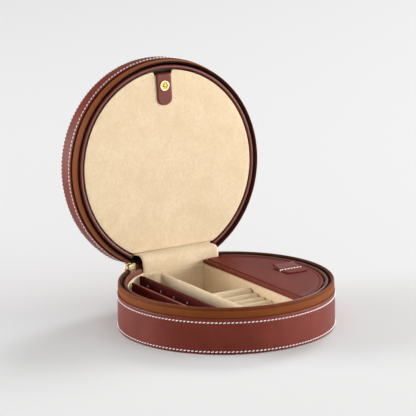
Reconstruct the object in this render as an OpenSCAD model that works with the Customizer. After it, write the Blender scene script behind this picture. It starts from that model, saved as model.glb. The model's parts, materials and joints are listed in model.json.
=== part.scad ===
// Round zipped leather jewellery case, standing open: a base with a fitted suede tray, a tray lid,
// and a deep lid whose suede panel covers a necklace compartment.
// Millimetres. Origin at the centre of the underside, +Z up, hinge at +Y, front at -Y.

/* [Case] */
// Radius of the outer leather
case_r = 90; // [86:1:96]
// How far the flat back of the case lies behind the centre
back_y = 80.9; // [80.4:0.1:81.2]
// Thickness of the outer leather
leather_t = 1.2; // [0.8:0.1:1.4]
// Thickness of the stiff board in the walls
board_t = 2.8; // [2:0.1:3]
// Height of the base's leather wall
base_wall_h = 30.1; // [28:0.1:31]
// Height at which the two halves of the zip meet
seam_z = 39; // [38.8:0.1:39.4]
// Depth of the lid, from the seam to its top
lid_depth = 25.3; // [24:0.1:34]
// Width of zip tape that shows on the lid
lid_tape_h = 8.75; // [8:0.05:9]

/* [Opening] */
// Height of the hinge fold in the leather spine
hinge_z = 37.25; // [37:0.05:37.5]
// How far the lid stands open
open_angle = 94.9; // [90:0.1:100]

/* [Tray] */
// Inner radius of the stiff ring that holds the tray
collar_r_in = 81.8; // [81.5:0.1:82]
// Thickness of the ring, leather included
collar_t = 2.9; // [2.4:0.1:2.9]
// Height of the ring's rim
collar_z = 37.6; // [37.4:0.1:38.3]
// Height of the tray walls
tray_z = 33.2; // [32:0.1:33.4]
// Distance from the centre to the tray's straight back wall
tray_back_y = 72.6; // [72:0.1:73]
// Left face of the padded divider
divider_x = -25.1; // [-29:0.1:-24.5]
// Thickness of the padded divider
divider_t = 3.8; // [3:0.1:4]
// Left face of the centre wall
centre_wall_x = 21.6; // [20:0.1:23]
// Thickness of the centre wall
centre_wall_t = 3; // [2.6:0.1:3.2]
// Diameter of a ring roll
roll_d = 10.5; // [10:0.1:10.7]
// Distance from one ring roll to the next
roll_pitch = 10.8; // [10.8:0.1:11.2]
// Number of ring rolls
roll_count = 7; // [4:1:7]
// Middle of the rearmost ring roll
first_roll_y = -3; // [-3:0.5:0]
// How much higher the rearmost ring roll lies than the front ones
roll_rise = 3.4; // [0:0.1:3.6]

/* [Closures] */
// Diameter of the press stud's cap
snap_d = 9.5; // [9:0.1:10]
// Width of the snap strap
strap_w = 14.5; // [13:0.1:15]
// Where the zip slider is parked, counted from +X
slider_angle = 124; // [123:0.5:124.5]

/* [Hidden] */
$fn = 96;

leather = "#7a372b";
dark_leather = "#4a1c14";
tape_brown = "#7b4222";
suede = "#ecd4b2";
grey_board = "#8f8a80";
brass = "#d8b050";

board_r = case_r - leather_t;               // outside of the wall boards
board_in = board_r - board_t;               // inside of the wall boards
tape_r = board_r - 0.1;                     // outside of the zip tape
tape_t = 0.8;
coil_r = 0.7;
zip_gap = 1.6;                              // between the edges of the two tapes
base_tape_z = seam_z - 0.6;                 // upper edge of the base's tape
lid_tape_z = base_tape_z + zip_gap;         // lower edge of the lid's tape, lid closed
floor_z = 3;                                // top of the floor board
pile_t = 1;                                 // thickness of the suede and its backing
collar_r = collar_r_in + collar_t;          // outside of the tray ring
skin_t = 0.7;                               // leather on the tray ring
collar_end_x = 37.8;                        // where the tray rings end, beside the hinge
hinge_y = back_y + 0.16;
lid_seam_z = seam_z + 0.9;                  // rim of the lid's ring, lid closed
lid_wall_z = seam_z + lid_tape_h;           // edge of the lid's leather wall, lid closed
lid_top_z = seam_z + lid_depth;
lid_board_z = lid_top_z - leather_t;        // top of the lid's top board
lid_ceiling_z = lid_board_z - 1.8;
lid_inner_z = lid_ceiling_z - 0.8;
panel_z = seam_z + 1;                       // face of the lid panel, lid closed
panel_r = 80.6;
panel_t = 2.4;
panel_fold_y = 70.3;                        // fold at the foot of the lid panel
tray_r = collar_r_in - pile_t;              // inside of the tray's suede wall
roll_x0 = divider_x + divider_t;            // ring rolls reach from the divider
roll_z = 20.5;
divider_end_y = tray_back_y - 7.1;          // the divider stops short of the back wall
strap_tip_y = -51.2;
strap_hinge_y = -76.6;
strap_z = seam_z - 0.6;                     // outer face of the strap, lid closed
strap_t = 1;
snap_y = -67.6;
flap_x = centre_wall_x + centre_wall_t + 0.5;   // left edge of the tray lid
flap_z = tray_z + 0.4;                      // underside of the tray lid
flap_top_z = 37.1;
flap_r = collar_r_in - 1.2;
flap_back_y = tray_back_y - 1.1;
pull_r = case_r + 1.8;                      // zip pull's pivot
pull_z = seam_z + 0.2;
far = 200;

// A ring standing on z0 and reaching z1
module ring(r_in, r_out, z0, z1) {
    translate([0, 0, z0])
        difference() {
            cylinder(r = r_out, h = z1 - z0, $fn = 180);
            translate([0, 0, -1])
                cylinder(r = r_in, h = z1 - z0 + 2, $fn = 180);
        }
}

// Whatever lies behind y, as a block to take away
module behind(y) {
    translate([-far, y, -far])
        cube([2 * far, far, 2 * far]);
}

// A disc with a flat back
module flat_disc(r, y, z0, z1) {
    difference() {
        translate([0, 0, z0])
            cylinder(r = r, h = z1 - z0, $fn = 180);
        behind(y);
    }
}

// A wall that follows the case's outline: a ring with a straight back, t thick
module flat_ring(r_out, t, y_out, z0, z1) {
    difference() {
        flat_disc(r_out, y_out, z0, z1);
        flat_disc(r_out - t, y_out - t, z0 - 1, z1 + 1);
    }
}

// A ring that stops short of the hinge on both sides
module open_ring(r_in, r_out, z0, z1, x_end = collar_end_x) {
    difference() {
        ring(r_in, r_out, z0, z1);
        translate([-x_end, 0, z0 - 1])
            cube([2 * x_end, far, z1 - z0 + 2]);
    }
}

// An arc of a ring from angle a0, sweep degrees long
module arc(r_in, r_out, z0, z1, a0, sweep) {
    rotate([0, 0, a0])
        rotate_extrude(angle = sweep, $fn = 180)
            translate([r_in, z0])
                square([r_out - r_in, z1 - z0]);
}

// A round cord bent round the case
module round_arc(r, r_cord, z, a0, sweep) {
    rotate([0, 0, a0])
        rotate_extrude(angle = sweep, $fn = 180)
            translate([r, z])
                circle(r = r_cord, $fn = 24);
}

// An upright wall along Y with a rounded top
module padded_wall(x0, t, y0, y1, z0, z1) {
    translate([x0, y0, z0])
        cube([t, y1 - y0, z1 - z0 - t / 2]);
    translate([x0 + t / 2, y0, z1 - t / 2])
        rotate([-90, 0, 0])
            cylinder(r = t / 2, h = y1 - y0, $fn = 48);
}

// A strip of sheet, t thick and as wide as x0 to x1, whose section follows points [y, z]
function normal(p, i) =
    let (a = p[max(i - 1, 0)], b = p[min(i + 1, len(p) - 1)], d = b - a)
    [-d.y, d.x] / norm(d);
module strip(p, t, x0, x1) {
    left = [for (i = [0 : len(p) - 1]) p[i] + normal(p, i) * t / 2];
    right = [for (i = [len(p) - 1 : -1 : 0]) p[i] - normal(p, i) * t / 2];
    translate([x0, 0, 0])
        rotate([90, 0, 90])
            linear_extrude(x1 - x0)
                polygon(concat(left, right));
}

// A smooth curve from a to d that leaves a towards b and reaches d from c
function curve(a, b, c, d, steps) =
    [for (i = [0 : steps]) let (s = i / steps, r = 1 - s)
        a * r * r * r + b * 3 * r * r * s + c * 3 * r * s * s + d * s * s * s];

// The middle of the spine leather at y, just under the back of the lid where it stands
function under_lid(y) = [y, hinge_z - 0.65 - (y - hinge_y) * tan(open_angle - 90)];

// Swings the lid from closed to where it stands
module opened() {
    translate([0, hinge_y, hinge_z])
        rotate([-open_angle, 0, 0])
            translate([0, -hinge_y, -hinge_z])
                children();
}

// ---- base shell ----

module base_bottom_leather() {
    color(leather)
        flat_disc(case_r, back_y, 0, leather_t);
}

module base_floor_board() {
    color(grey_board)
        flat_disc(board_r, back_y - leather_t, leather_t, floor_z);
}

module base_wall_board() {
    color(grey_board)
        flat_ring(board_r, board_t, back_y - leather_t, floor_z, base_wall_h - 0.1);
}

module base_wall_leather() {
    color(leather)
        flat_ring(case_r, leather_t, back_y, leather_t, base_wall_h);
}

module base_zip_tape() {
    color(tape_brown)
        arc(tape_r - tape_t, tape_r, base_wall_h, base_tape_z, 115.5, 309);
}

module base_zip_coil() {
    color(tape_brown)
        round_arc(tape_r - tape_t - coil_r, coil_r, base_tape_z - 0.8, 119, 302);
}

module zip_end_tabs() {
    color(leather)
        for (a = [115.4, 61.8])
            arc(board_r, board_r + 0.9, base_wall_h + 0.3, base_tape_z - 0.3, a, 2.8);
}

module spine_leather() {
    t = leather_t;
    fold = curve([back_y + t / 2, hinge_z - 3], [back_y + t / 2, hinge_z - 0.6],
                 [back_y + 1.6, hinge_z - 0.5], under_lid(back_y + 3.6), 8);
    color(leather)
        strip(concat([[back_y + t / 2, 16]], fold, [under_lid(91.6), under_lid(103)]), t,
              -37.5, 37.5);
}

// ---- tray ----

module base_collar_board() {
    color(grey_board)
        open_ring(collar_r_in + skin_t, collar_r - skin_t, floor_z, collar_z - skin_t);
}

module base_collar_leather() {
    color(leather)
        difference() {
            open_ring(collar_r_in, collar_r, floor_z, collar_z);
            open_ring(collar_r_in + skin_t, collar_r - skin_t, floor_z - 1, collar_z - skin_t, 1);
        }
}

module tray_floor_suede() {
    color(suede)
        flat_disc(collar_r_in, tray_back_y + 2, floor_z, floor_z + pile_t);
}

module tray_wall_suede() {
    color(suede)
        difference() {
            open_ring(tray_r, collar_r_in, floor_z + pile_t, tray_z);
            behind(tray_back_y + 2);
        }
}

module tray_back_wall() {
    color(suede)
        translate([-collar_end_x + 0.3, tray_back_y, floor_z + pile_t])
            cube([2 * collar_end_x - 0.6, 2, tray_z - floor_z - pile_t]);
}

module centre_wall() {
    color(suede)
        translate([centre_wall_x, -76.6, floor_z + pile_t])
            cube([centre_wall_t, 76.6 + tray_back_y, tray_z - floor_z - pile_t]);
}

module divider() {
    color(suede)
        padded_wall(divider_x, divider_t, -75.8, divider_end_y, floor_z + pile_t, tray_z);
}

// A leather-covered board with a row of holes for earrings
module earring_panel(x, t, half, top, holes) {
    difference() {
        padded_wall(x, t, -half, half, floor_z + pile_t, top);
        for (y = holes)
            translate([x - 1, y, 27.5])
                rotate([0, 90, 0])
                    cylinder(r = 0.7, h = t + 2, $fn = 24);
    }
}

module earring_panel_inner() {
    color(dark_leather)
        earring_panel(-44, 2.8, 67.4, tray_z - 0.2, [for (i = [-2.5 : 1 : 2.5]) i * 21]);
}

module earring_panel_outer() {
    color(dark_leather)
        earring_panel(-59.2, 1.6, 54.4, tray_z - 0.7, [for (i = [-2 : 2]) i * 21]);
}

// How much higher roll i lies than the front ones
function rise(i) = roll_rise * exp(-1.1 * i);

module ring_roll_bed() {
    last = roll_count - 1;
    under = floor_z + pile_t;
    front = first_roll_y - last * roll_pitch - roll_pitch / 2;
    steps = [for (i = [0 : last]) for (side = [1, -1])
        [i == 0 && side == 1 ? first_roll_y + roll_d / 2
            : first_roll_y - i * roll_pitch + side * roll_pitch / 2,
         roll_z - roll_d / 2 + rise(i)]];
    color(suede)
        translate([roll_x0, 0, 0])
            rotate([90, 0, 90])
                linear_extrude(centre_wall_x - roll_x0)
                    polygon(concat([[front, under], [first_roll_y + roll_d / 2, under]], steps));
}

module ring_roll(i) {
    color(suede)
        if (i < roll_count)
            translate([roll_x0 + 0.5, first_roll_y - i * roll_pitch, roll_z + rise(i)])
                rotate([0, 90, 0])
                    cylinder(d = roll_d, h = centre_wall_x - roll_x0 - 1, $fn = 64);
}

module hinge_strip_suede() {
    section = curve([tray_back_y + 0.6, tray_z], [tray_back_y + 0.2, 47.6], [74.4, 46.6],
                    [84.3, 46.9], 14);
    color(suede)
        strip(section, 0.9, -37.4, 37.4);
}

// ---- tray lid ----

module tray_lid_hinge_leather() {
    color(leather)
        translate([centre_wall_x - 0.6, -76.4, tray_z])
            cube([centre_wall_t + 0.6, 76.4 + flap_back_y, 36.5 - tray_z]);
}

// The D-shaped outline of the tray lid, taken in by inset
module flap_outline(inset, z0, z1) {
    intersection() {
        flat_disc(flap_r - inset, flap_back_y - inset, z0, z1);
        translate([flap_x + inset, -far, z0 - 1])
            cube([far, 2 * far, z1 - z0 + 2]);
    }
}

module tray_lid_board() {
    color(grey_board)
        flap_outline(0.8, flap_z + 0.8, flap_top_z - 0.9);
}

module tray_lid_leather() {
    color(leather)
        difference() {
            flap_outline(0, flap_z + 0.8, flap_top_z);
            flap_outline(0.8, flap_z, flap_top_z - 0.9);
        }
}

module tray_lid_lining() {
    color(suede)
        flap_outline(0.3, flap_z, flap_z + 0.8);
}

module tray_lid_pull_tab() {
    flap = curve([-1, flap_top_z + 0.55], [4, flap_top_z + 0.6], [8, 40], [12, 41.4], 8);
    color(leather)
        strip(concat([[-12, flap_top_z + 0.5]], flap), 1, 52.5, 74);
}

// ---- lid shell, drawn closed and swung open ----

module lid_top_leather() {
    color(leather)
        opened()
            flat_disc(case_r, back_y, lid_board_z, lid_top_z);
}

module lid_top_board() {
    color(grey_board)
        opened()
            flat_disc(board_r, back_y - leather_t, lid_ceiling_z, lid_board_z);
}

module lid_wall_board() {
    color(grey_board)
        opened()
            flat_ring(board_r, board_t, back_y - leather_t, lid_wall_z + 0.1, lid_ceiling_z);
}

module lid_wall_leather() {
    color(leather)
        opened()
            flat_ring(case_r, leather_t, back_y, lid_wall_z, lid_board_z);
}

module lid_zip_tape() {
    color(tape_brown)
        opened()
            arc(tape_r - tape_t, tape_r, lid_tape_z, lid_wall_z, 128.5, 285.5);
}

module lid_zip_coil() {
    color(tape_brown)
        opened()
            round_arc(tape_r - tape_t - coil_r, coil_r, lid_tape_z + 0.8, 129, 284.5);
}

module lid_collar_board() {
    color(grey_board)
        opened()
            open_ring(collar_r_in + skin_t, collar_r - skin_t, lid_seam_z + skin_t, lid_ceiling_z);
}

module lid_collar_leather() {
    color(leather)
        opened()
            difference() {
                open_ring(collar_r_in, collar_r, lid_seam_z, lid_ceiling_z);
                open_ring(collar_r_in + skin_t, collar_r - skin_t, lid_seam_z + skin_t,
                          lid_ceiling_z + 1, 1);
            }
}

module lid_floor_suede() {
    color(suede)
        opened()
            flat_disc(collar_r_in, panel_fold_y + 2.3, lid_inner_z, lid_ceiling_z);
}

module lid_back_wall() {
    color(suede)
        opened()
            translate([-37.2, panel_fold_y + 0.3, panel_z + 0.3])
                cube([74.4, 2, lid_inner_z - panel_z - 0.3]);
}

module necklace_hook_rail() {
    color(leather)
        opened()
            translate([-36, -62, lid_inner_z - 1.2])
                cube([72, 12, 1.2]);
}

module necklace_hooks() {
    color(brass)
        opened()
            for (i = [-2 : 2])
                translate([i * 15, -56, lid_inner_z - 10]) {
                    cylinder(r = 1.2, h = 8.8, $fn = 32);
                    translate([0, 0, -1.4])
                        cylinder(r = 2.6, h = 1.6, $fn = 32);
                }
}

module lid_pocket() {
    color(suede)
        opened()
            difference() {
                intersection() {
                    flat_disc(74, panel_fold_y - 2, lid_inner_z - 3.6, lid_inner_z);
                    translate([-far, 12, 0])
                        cube([2 * far, far, far]);
                }
                intersection() {
                    flat_disc(72.8, panel_fold_y - 3.2, lid_inner_z - 2.6, lid_inner_z + 1);
                    translate([-far, 11, 0])
                        cube([2 * far, far, far]);
                }
            }
}

// ---- lid panel and its snap strap, drawn closed and swung open ----

// The panel's outline: round, with a straight foot and a notch for the strap
module panel_outline(inset, z0, z1) {
    difference() {
        flat_disc(panel_r - inset, panel_fold_y - inset, z0, z1);
        translate([-8.5, -panel_r - 1, z0 - 1])
            cube([17, 5.3, z1 - z0 + 2]);
    }
}

module panel_board() {
    color(grey_board)
        opened()
            panel_outline(0.4, panel_z + 0.6, panel_z + panel_t - 0.6);
}

module panel_suede() {
    color(suede)
        opened()
            difference() {
                panel_outline(0, panel_z, panel_z + 0.6);
                translate([0, snap_y, panel_z - 1])
                    cylinder(r = 3, h = 3, $fn = 48);
            }
}

module panel_back_suede() {
    color(suede)
        opened()
            panel_outline(0.2, panel_z + panel_t - 0.6, panel_z + panel_t);
}

module snap_stud() {
    color(brass)
        opened()
            translate([0, snap_y, 0]) {
                translate([0, 0, panel_z])
                    cylinder(r = 3, h = 0.6, $fn = 48);
                translate([0, 0, strap_z + 0.5])
                    cylinder(r = 1.5, h = panel_z - strap_z - 0.5, $fn = 32);
            }
}

module strap_anchor() {
    color(leather)
        opened()
            union() {
                translate([-strap_w / 2, strap_hinge_y - 1.5, strap_z + strap_t + 0.3])
                    cube([strap_w, 1.8, panel_t + 0.5]);
                translate([-10.5, -80.4, panel_z + panel_t])
                    cube([21, 10, 0.8]);
            }
}

module snap_strap() {
    color(leather)
        opened()
            difference() {
                union() {
                    translate([-strap_w / 2, strap_hinge_y, strap_z])
                        cube([strap_w, strap_tip_y - strap_w / 2 - strap_hinge_y, strap_t]);
                    translate([0, strap_tip_y - strap_w / 2, strap_z])
                        cylinder(d = strap_w, h = strap_t, $fn = 64);
                }
                translate([0, snap_y, strap_z - 1])
                    cylinder(r = 1.9, h = strap_t + 2, $fn = 32);
            }
}

module snap_socket() {
    color(brass)
        opened()
            translate([0, snap_y, strap_z + strap_t])
                difference() {
                    cylinder(r = 3.4, h = 0.5, $fn = 48);
                    translate([0, 0, -1])
                        cylinder(r = 1.9, h = 3, $fn = 32);
                }
}

module snap_cap() {
    color(brass)
        opened()
            translate([0, snap_y, strap_z - 1])
                cylinder(d = snap_d, h = 1, $fn = 64);
}

// ---- zip slider ----

// Shapes drawn at angle 0 of the case and turned to where the slider is parked
module parked() {
    rotate([0, 0, slider_angle])
        children();
}

module zip_slider() {
    color(brass)
        parked() {
            arc(tape_r + 0.4, tape_r + 1.7, seam_z - 3.8, seam_z + 3.6, -3.3, 6.6);
            arc(collar_r + 0.5, collar_r + 1.3, seam_z - 3.8, seam_z + 1.4, -3.3, 6.6);
            arc(collar_r + 1, tape_r + 0.8, seam_z - 0.05, seam_z + 0.75, -1.2, 2.4);
            for (y = [-2.4, 1.6])
                translate([tape_r + 1.5, y, pull_z - 1.6])
                    cube([2.8, 0.8, 3.2]);
            translate([pull_r + 0.2, 2.4, pull_z])
                rotate([90, 0, 0])
                    cylinder(r = 0.6, h = 4.8, $fn = 32);
        }
}

module zip_pull() {
    color(brass)
        parked()
            translate([pull_r + 0.2, 0, pull_z]) {
                rotate([90, 0, 0])
                    difference() {
                        translate([0, 0, -1.3])
                            cylinder(r = 1.4, h = 2.6, $fn = 32);
                        translate([0, 0, -2])
                            cylinder(r = 0.66, h = 4, $fn = 32);
                    }
                difference() {
                    union() {
                        translate([-0.6, -1.3, -6])
                            cube([1.2, 2.6, 4.9]);
                        translate([-0.6, -3, -22])
                            cube([1.2, 6, 16]);
                        translate([-0.6, 0, -22])
                            rotate([0, 90, 0])
                                cylinder(r = 3, h = 1.2, $fn = 48);
                    }
                    translate([-1, 0, -21.5])
                        rotate([0, 90, 0])
                            cylinder(r = 1.4, h = 2, $fn = 32);
                }
            }
}

base_bottom_leather();
base_floor_board();
base_wall_board();
base_wall_leather();
base_zip_tape();
base_zip_coil();
zip_end_tabs();
spine_leather();
base_collar_board();
base_collar_leather();
tray_floor_suede();
tray_wall_suede();
tray_back_wall();
centre_wall();
divider();
earring_panel_inner();
earring_panel_outer();
ring_roll_bed();
ring_roll(0);  // ring_roll_1
ring_roll(1);  // ring_roll_2
ring_roll(2);  // ring_roll_3
ring_roll(3);  // ring_roll_4
ring_roll(4);  // ring_roll_5
ring_roll(5);  // ring_roll_6
ring_roll(6);  // ring_roll_7
hinge_strip_suede();
tray_lid_hinge_leather();
tray_lid_board();
tray_lid_leather();
tray_lid_lining();
tray_lid_pull_tab();
lid_top_leather();
lid_top_board();
lid_wall_board();
lid_wall_leather();
lid_zip_tape();
lid_zip_coil();
lid_collar_board();
lid_collar_leather();
lid_floor_suede();
lid_back_wall();
necklace_hook_rail();
necklace_hooks();
lid_pocket();
panel_board();
panel_suede();
panel_back_suede();
snap_stud();
strap_anchor();
snap_strap();
snap_socket();
snap_cap();
zip_slider();
zip_pull();
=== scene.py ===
"""Looks of a round zipped leather jewellery case that stands open.

Lengths are in millimetres until a mesh is made. The lid's pieces are built in the place they have
when the lid is closed, where the case is a plain round tin, and are then swung open with it.
"""

import json
import math

import bmesh
import bpy
import numpy as np
from mathutils import Matrix, Vector
from mathutils import noise as turbulence
from mathutils.geometry import delaunay_2d_cdt


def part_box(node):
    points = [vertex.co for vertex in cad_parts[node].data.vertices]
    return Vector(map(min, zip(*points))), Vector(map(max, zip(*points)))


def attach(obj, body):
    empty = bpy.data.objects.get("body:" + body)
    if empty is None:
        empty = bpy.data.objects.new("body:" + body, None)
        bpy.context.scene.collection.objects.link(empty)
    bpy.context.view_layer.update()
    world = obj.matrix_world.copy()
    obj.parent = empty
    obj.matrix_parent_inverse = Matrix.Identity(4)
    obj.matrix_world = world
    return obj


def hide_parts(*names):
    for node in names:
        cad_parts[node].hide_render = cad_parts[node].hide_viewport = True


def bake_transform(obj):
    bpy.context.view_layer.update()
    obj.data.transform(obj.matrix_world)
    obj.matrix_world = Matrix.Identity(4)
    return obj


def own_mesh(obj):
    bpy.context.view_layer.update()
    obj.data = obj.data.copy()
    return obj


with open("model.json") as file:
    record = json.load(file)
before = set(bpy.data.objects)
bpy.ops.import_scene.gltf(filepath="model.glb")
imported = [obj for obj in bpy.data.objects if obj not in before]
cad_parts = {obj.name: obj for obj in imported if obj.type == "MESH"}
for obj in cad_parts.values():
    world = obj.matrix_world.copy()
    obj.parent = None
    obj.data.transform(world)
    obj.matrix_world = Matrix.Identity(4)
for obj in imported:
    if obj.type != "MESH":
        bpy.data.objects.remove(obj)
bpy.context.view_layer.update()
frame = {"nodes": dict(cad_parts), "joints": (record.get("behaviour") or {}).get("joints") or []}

MM = 0.001
nodes = frame["nodes"]
joints = {joint["name"]: joint for joint in frame["joints"]}


# ---- places, from the frame ----

def hinge_turn(joint, degrees):
    """The matrix, in millimetres, that turns a point about a joint's axis."""
    pivot = Vector(joints[joint]["pos_m"]) / MM
    turn = Matrix.Rotation(math.radians(degrees), 4, Vector(joints[joint]["axis"]))
    return Matrix.Translation(pivot) @ turn @ Matrix.Translation(-pivot)


OPEN_ANGLE = -joints["lid_hinge"]["range_deg"][0]
OPENED = hinge_turn("lid_hinge", OPEN_ANGLE)
CLOSED = OPENED.inverted()


def low(node):
    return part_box(node)[0] / MM


def high(node):
    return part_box(node)[1] / MM


def span(node):
    """A node's lowest and highest corner."""
    return low(node), high(node)


def closed_box(node):
    """A lid node's lowest and highest corner when the lid is closed."""
    points = [CLOSED @ (v.co / MM) for v in nodes[node].data.vertices]
    return (Vector([min(p[i] for p in points) for i in range(3)]),
            Vector([max(p[i] for p in points) for i in range(3)]))


CASE_R = high("base_wall_leather").x
BACK_Y = high("base_wall_leather").y
LEATHER_T = high("base_bottom_leather").z
WALL_TOP = high("base_wall_leather").z
TAPE_R = high("base_zip_tape").x
TAPE_TOP = high("base_zip_tape").z
COLLAR_OUT = high("base_collar_leather").x
COLLAR_IN = high("tray_floor_suede").x
COLLAR_TOP = high("base_collar_leather").z
COLLAR_END = 37.8
FLOOR_Z = low("tray_floor_suede").z
TRAY_FLOOR = high("tray_floor_suede").z
TRAY_TOP = high("tray_wall_suede").z
TRAY_BACK = low("tray_back_wall").y
LID_WALL, LID_TOP_BOARD = (corner.z for corner in closed_box("lid_wall_leather"))
LID_TOP = closed_box("lid_top_leather")[1].z
LID_TAPE = closed_box("lid_zip_tape")[0].z
LID_COLLAR, LID_CEILING = (corner.z for corner in closed_box("lid_collar_leather"))
PANEL_LOW, PANEL_HIGH = closed_box("panel_suede")[0], closed_box("panel_back_suede")[1]
FOLD_Y = closed_box("panel_suede")[1].y
STITCH_PITCH = 3.3


# ---- node helpers ----

def new_material(name):
    material = bpy.data.materials.new(name)
    material.use_nodes = True
    tree = material.node_tree
    return material, tree, tree.nodes["Principled BSDF"]


def add(tree, kind, inputs=None, **settings):
    """A shader node. inputs maps a socket's name or number to a value or to another node's output."""
    made = tree.nodes.new("ShaderNode" + kind)
    for key, value in settings.items():
        setattr(made, key, value)
    for key, value in (inputs or {}).items():
        if isinstance(value, bpy.types.NodeSocket):
            tree.links.new(value, made.inputs[key])
        else:
            made.inputs[key].default_value = value
    return made


def millimetres(tree, source="Object"):
    """Texture coordinates in millimetres, from the object's own space or its UV map."""
    coordinates = add(tree, "TexCoord")
    scale = 1 / MM if source == "Object" else 1
    return add(tree, "Mapping", {0: coordinates.outputs[source], 3: (scale,) * 3}).outputs[0]


def noise(tree, where, scale, detail, roughness=0.5, distortion=0):
    return add(tree, "TexNoise", {"Vector": where, "Scale": scale, "Detail": detail,
                                  "Roughness": roughness, "Distortion": distortion}).outputs["Fac"]


def remap(tree, value, low_in, high_in, low_out, high_out):
    return add(tree, "MapRange", {0: value, 1: low_in, 2: high_in, 3: low_out, 4: high_out}).outputs[0]


def calculate(tree, operation, first, second):
    return add(tree, "Math", {0: first, 1: second}, operation=operation).outputs[0]


def mix_colour(tree, factor, first, second):
    made = add(tree, "Mix", data_type="RGBA", blend_type="MIX")
    for socket, value in zip((0, 6, 7), (factor, first, second)):
        if isinstance(value, bpy.types.NodeSocket):
            tree.links.new(value, made.inputs[socket])
        else:
            made.inputs[socket].default_value = value if socket == 0 else (*value, 1)
    return made.outputs[2]


def bump(tree, height, distance, strength):
    """The normal of a surface whose height varies by distance, in millimetres."""
    return add(tree, "Bump", {"Height": height, "Distance": distance * MM, "Strength": strength}).outputs[0]


def finish_shader(tree, shader, colour, roughness, normal, **constants):
    """Joins what varies over the surface to the shader and sets the rest as plain values."""
    tree.links.new(colour, shader.inputs["Base Color"])
    if isinstance(roughness, bpy.types.NodeSocket):
        tree.links.new(roughness, shader.inputs["Roughness"])
    else:
        shader.inputs["Roughness"].default_value = roughness
    tree.links.new(normal, shader.inputs["Normal"])
    for key, value in constants.items():
        shader.inputs[key.replace("_", " ")].default_value = value


# ---- materials ----

def tinted(colour, factors):
    """A colour made darker or lighter, by one factor or by one for each channel."""
    if not isinstance(factors, tuple):
        factors = (factors,) * 3
    return tuple(min(c * f, 1) for c, f in zip(colour, factors))


def leather(name, colour, roughness, specular, grain=0.75):
    """Fine-grained leather: pebbles between creases, soft mottling and a satin finish."""
    material, tree, shader = new_material(name)
    where = millimetres(tree)
    bend = noise(tree, where, 0.9, 2)
    bent = add(tree, "VectorMath", {0: where, 1: bend}, operation="ADD").outputs[0]
    pebble = add(tree, "TexVoronoi", {"Vector": bent, "Scale": 1 / grain, "Randomness": 1.0},
                 feature="DISTANCE_TO_EDGE").outputs["Distance"]
    plateau = remap(tree, pebble, 0.0, 0.16, 0.0, 1.0)
    pores = noise(tree, where, 5.0, 3)
    mottle = noise(tree, where, 0.045, 4, 0.6, 0.4)
    light = tuple(c + 0.004 for c in tinted(colour, 1.10))
    shade = mix_colour(tree, remap(tree, mottle, 0.35, 0.68, 0, 1), tinted(colour, 0.84), light)
    shade = mix_colour(tree, remap(tree, plateau, 0, 1, 0.30, 0), shade, tinted(colour, 0.72))
    height = calculate(tree, "MULTIPLY_ADD", pores, 0.22)
    tree.links.new(plateau, height.node.inputs[2])
    gloss = calculate(tree, "MULTIPLY_ADD", mottle, 0.10)
    pebble_gloss = remap(tree, plateau, 0, 1, roughness + 0.06, roughness - 0.05)
    tree.links.new(pebble_gloss, gloss.node.inputs[2])
    finish_shader(tree, shader, shade, gloss, bump(tree, height, 0.05, 0.55),
                  Specular_IOR_Level=specular)
    return material


def suede_cloth(name, colour):
    """Microsuede: a short nap with cloudy brushed patches and fine fibres."""
    material, tree, shader = new_material(name)
    where = millimetres(tree)
    clouds = noise(tree, where, 0.055, 5, 0.62, 0.5)
    nap = noise(tree, where, 0.42, 4, 0.72)
    fibres = noise(tree, where, 2.4, 4, 0.7)
    dark, light = tinted(colour, (0.91, 0.875, 0.83)), tinted(colour, 1.04)
    shade = mix_colour(tree, remap(tree, clouds, 0.34, 0.68, 0, 1), dark, light)
    flecks = tinted(colour, (0.76, 0.70, 0.62))
    shade = mix_colour(tree, remap(tree, nap, 0.36, 0.62, 0.46, 0.0), shade, flecks)
    shade = mix_colour(tree, remap(tree, fibres, 0.42, 0.66, 0.34, 0.0), shade, flecks)
    finish_shader(tree, shader, shade, 0.92, bump(tree, fibres, 0.12, 0.7),
                  Specular_IOR_Level=0.15, Sheen_Weight=0.15, Sheen_Roughness=0.55)
    shader.inputs["Sheen Tint"].default_value = (1.0, 0.95, 0.86, 1)
    return material


def woven_tape(name, colour):
    """Zip tape: fine diagonal ribs that follow the tape's own length."""
    material, tree, shader = new_material(name)
    where = millimetres(tree, "UV")
    rib = add(tree, "TexWave", {"Vector": add(tree, "Mapping", {0: where, 2: (0, 0, 0.5)}).outputs[0],
                                "Scale": 0.62, "Distortion": 0.3, "Detail": 1.0},
              bands_direction="X").outputs["Fac"]
    cross = add(tree, "TexWave", {"Vector": where, "Scale": 0.8, "Distortion": 0.2},
                bands_direction="Y").outputs["Fac"]
    threads = calculate(tree, "MULTIPLY", rib, cross)
    mottle = noise(tree, millimetres(tree), 0.12, 4, 0.6)
    dark, light = tinted(colour, 0.70), tinted(colour, 1.12)
    shade = mix_colour(tree, remap(tree, threads, 0, 0.9, 0.55, 0), light, dark)
    shade = mix_colour(tree, remap(tree, mottle, 0.35, 0.65, 0.50, 0), shade, dark)
    finish_shader(tree, shader, shade, 0.62, bump(tree, threads, 0.10, 0.6),
                  Specular_IOR_Level=0.1, Sheen_Weight=0.10, Sheen_Roughness=0.4)
    shader.inputs["Sheen Tint"].default_value = (1.0, 0.55, 0.25, 1)
    return material


def nylon(name, colour):
    """Coil filament: smooth, with faint wear."""
    material, tree, shader = new_material(name)
    where = millimetres(tree)
    worn = noise(tree, where, 1.5, 3)
    shade = mix_colour(tree, remap(tree, worn, 0.3, 0.7, 0, 1), tinted(colour, 0.8), colour)
    finish_shader(tree, shader, shade, 0.38, bump(tree, worn, 0.03, 0.4), Specular_IOR_Level=0.45)
    return material


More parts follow.
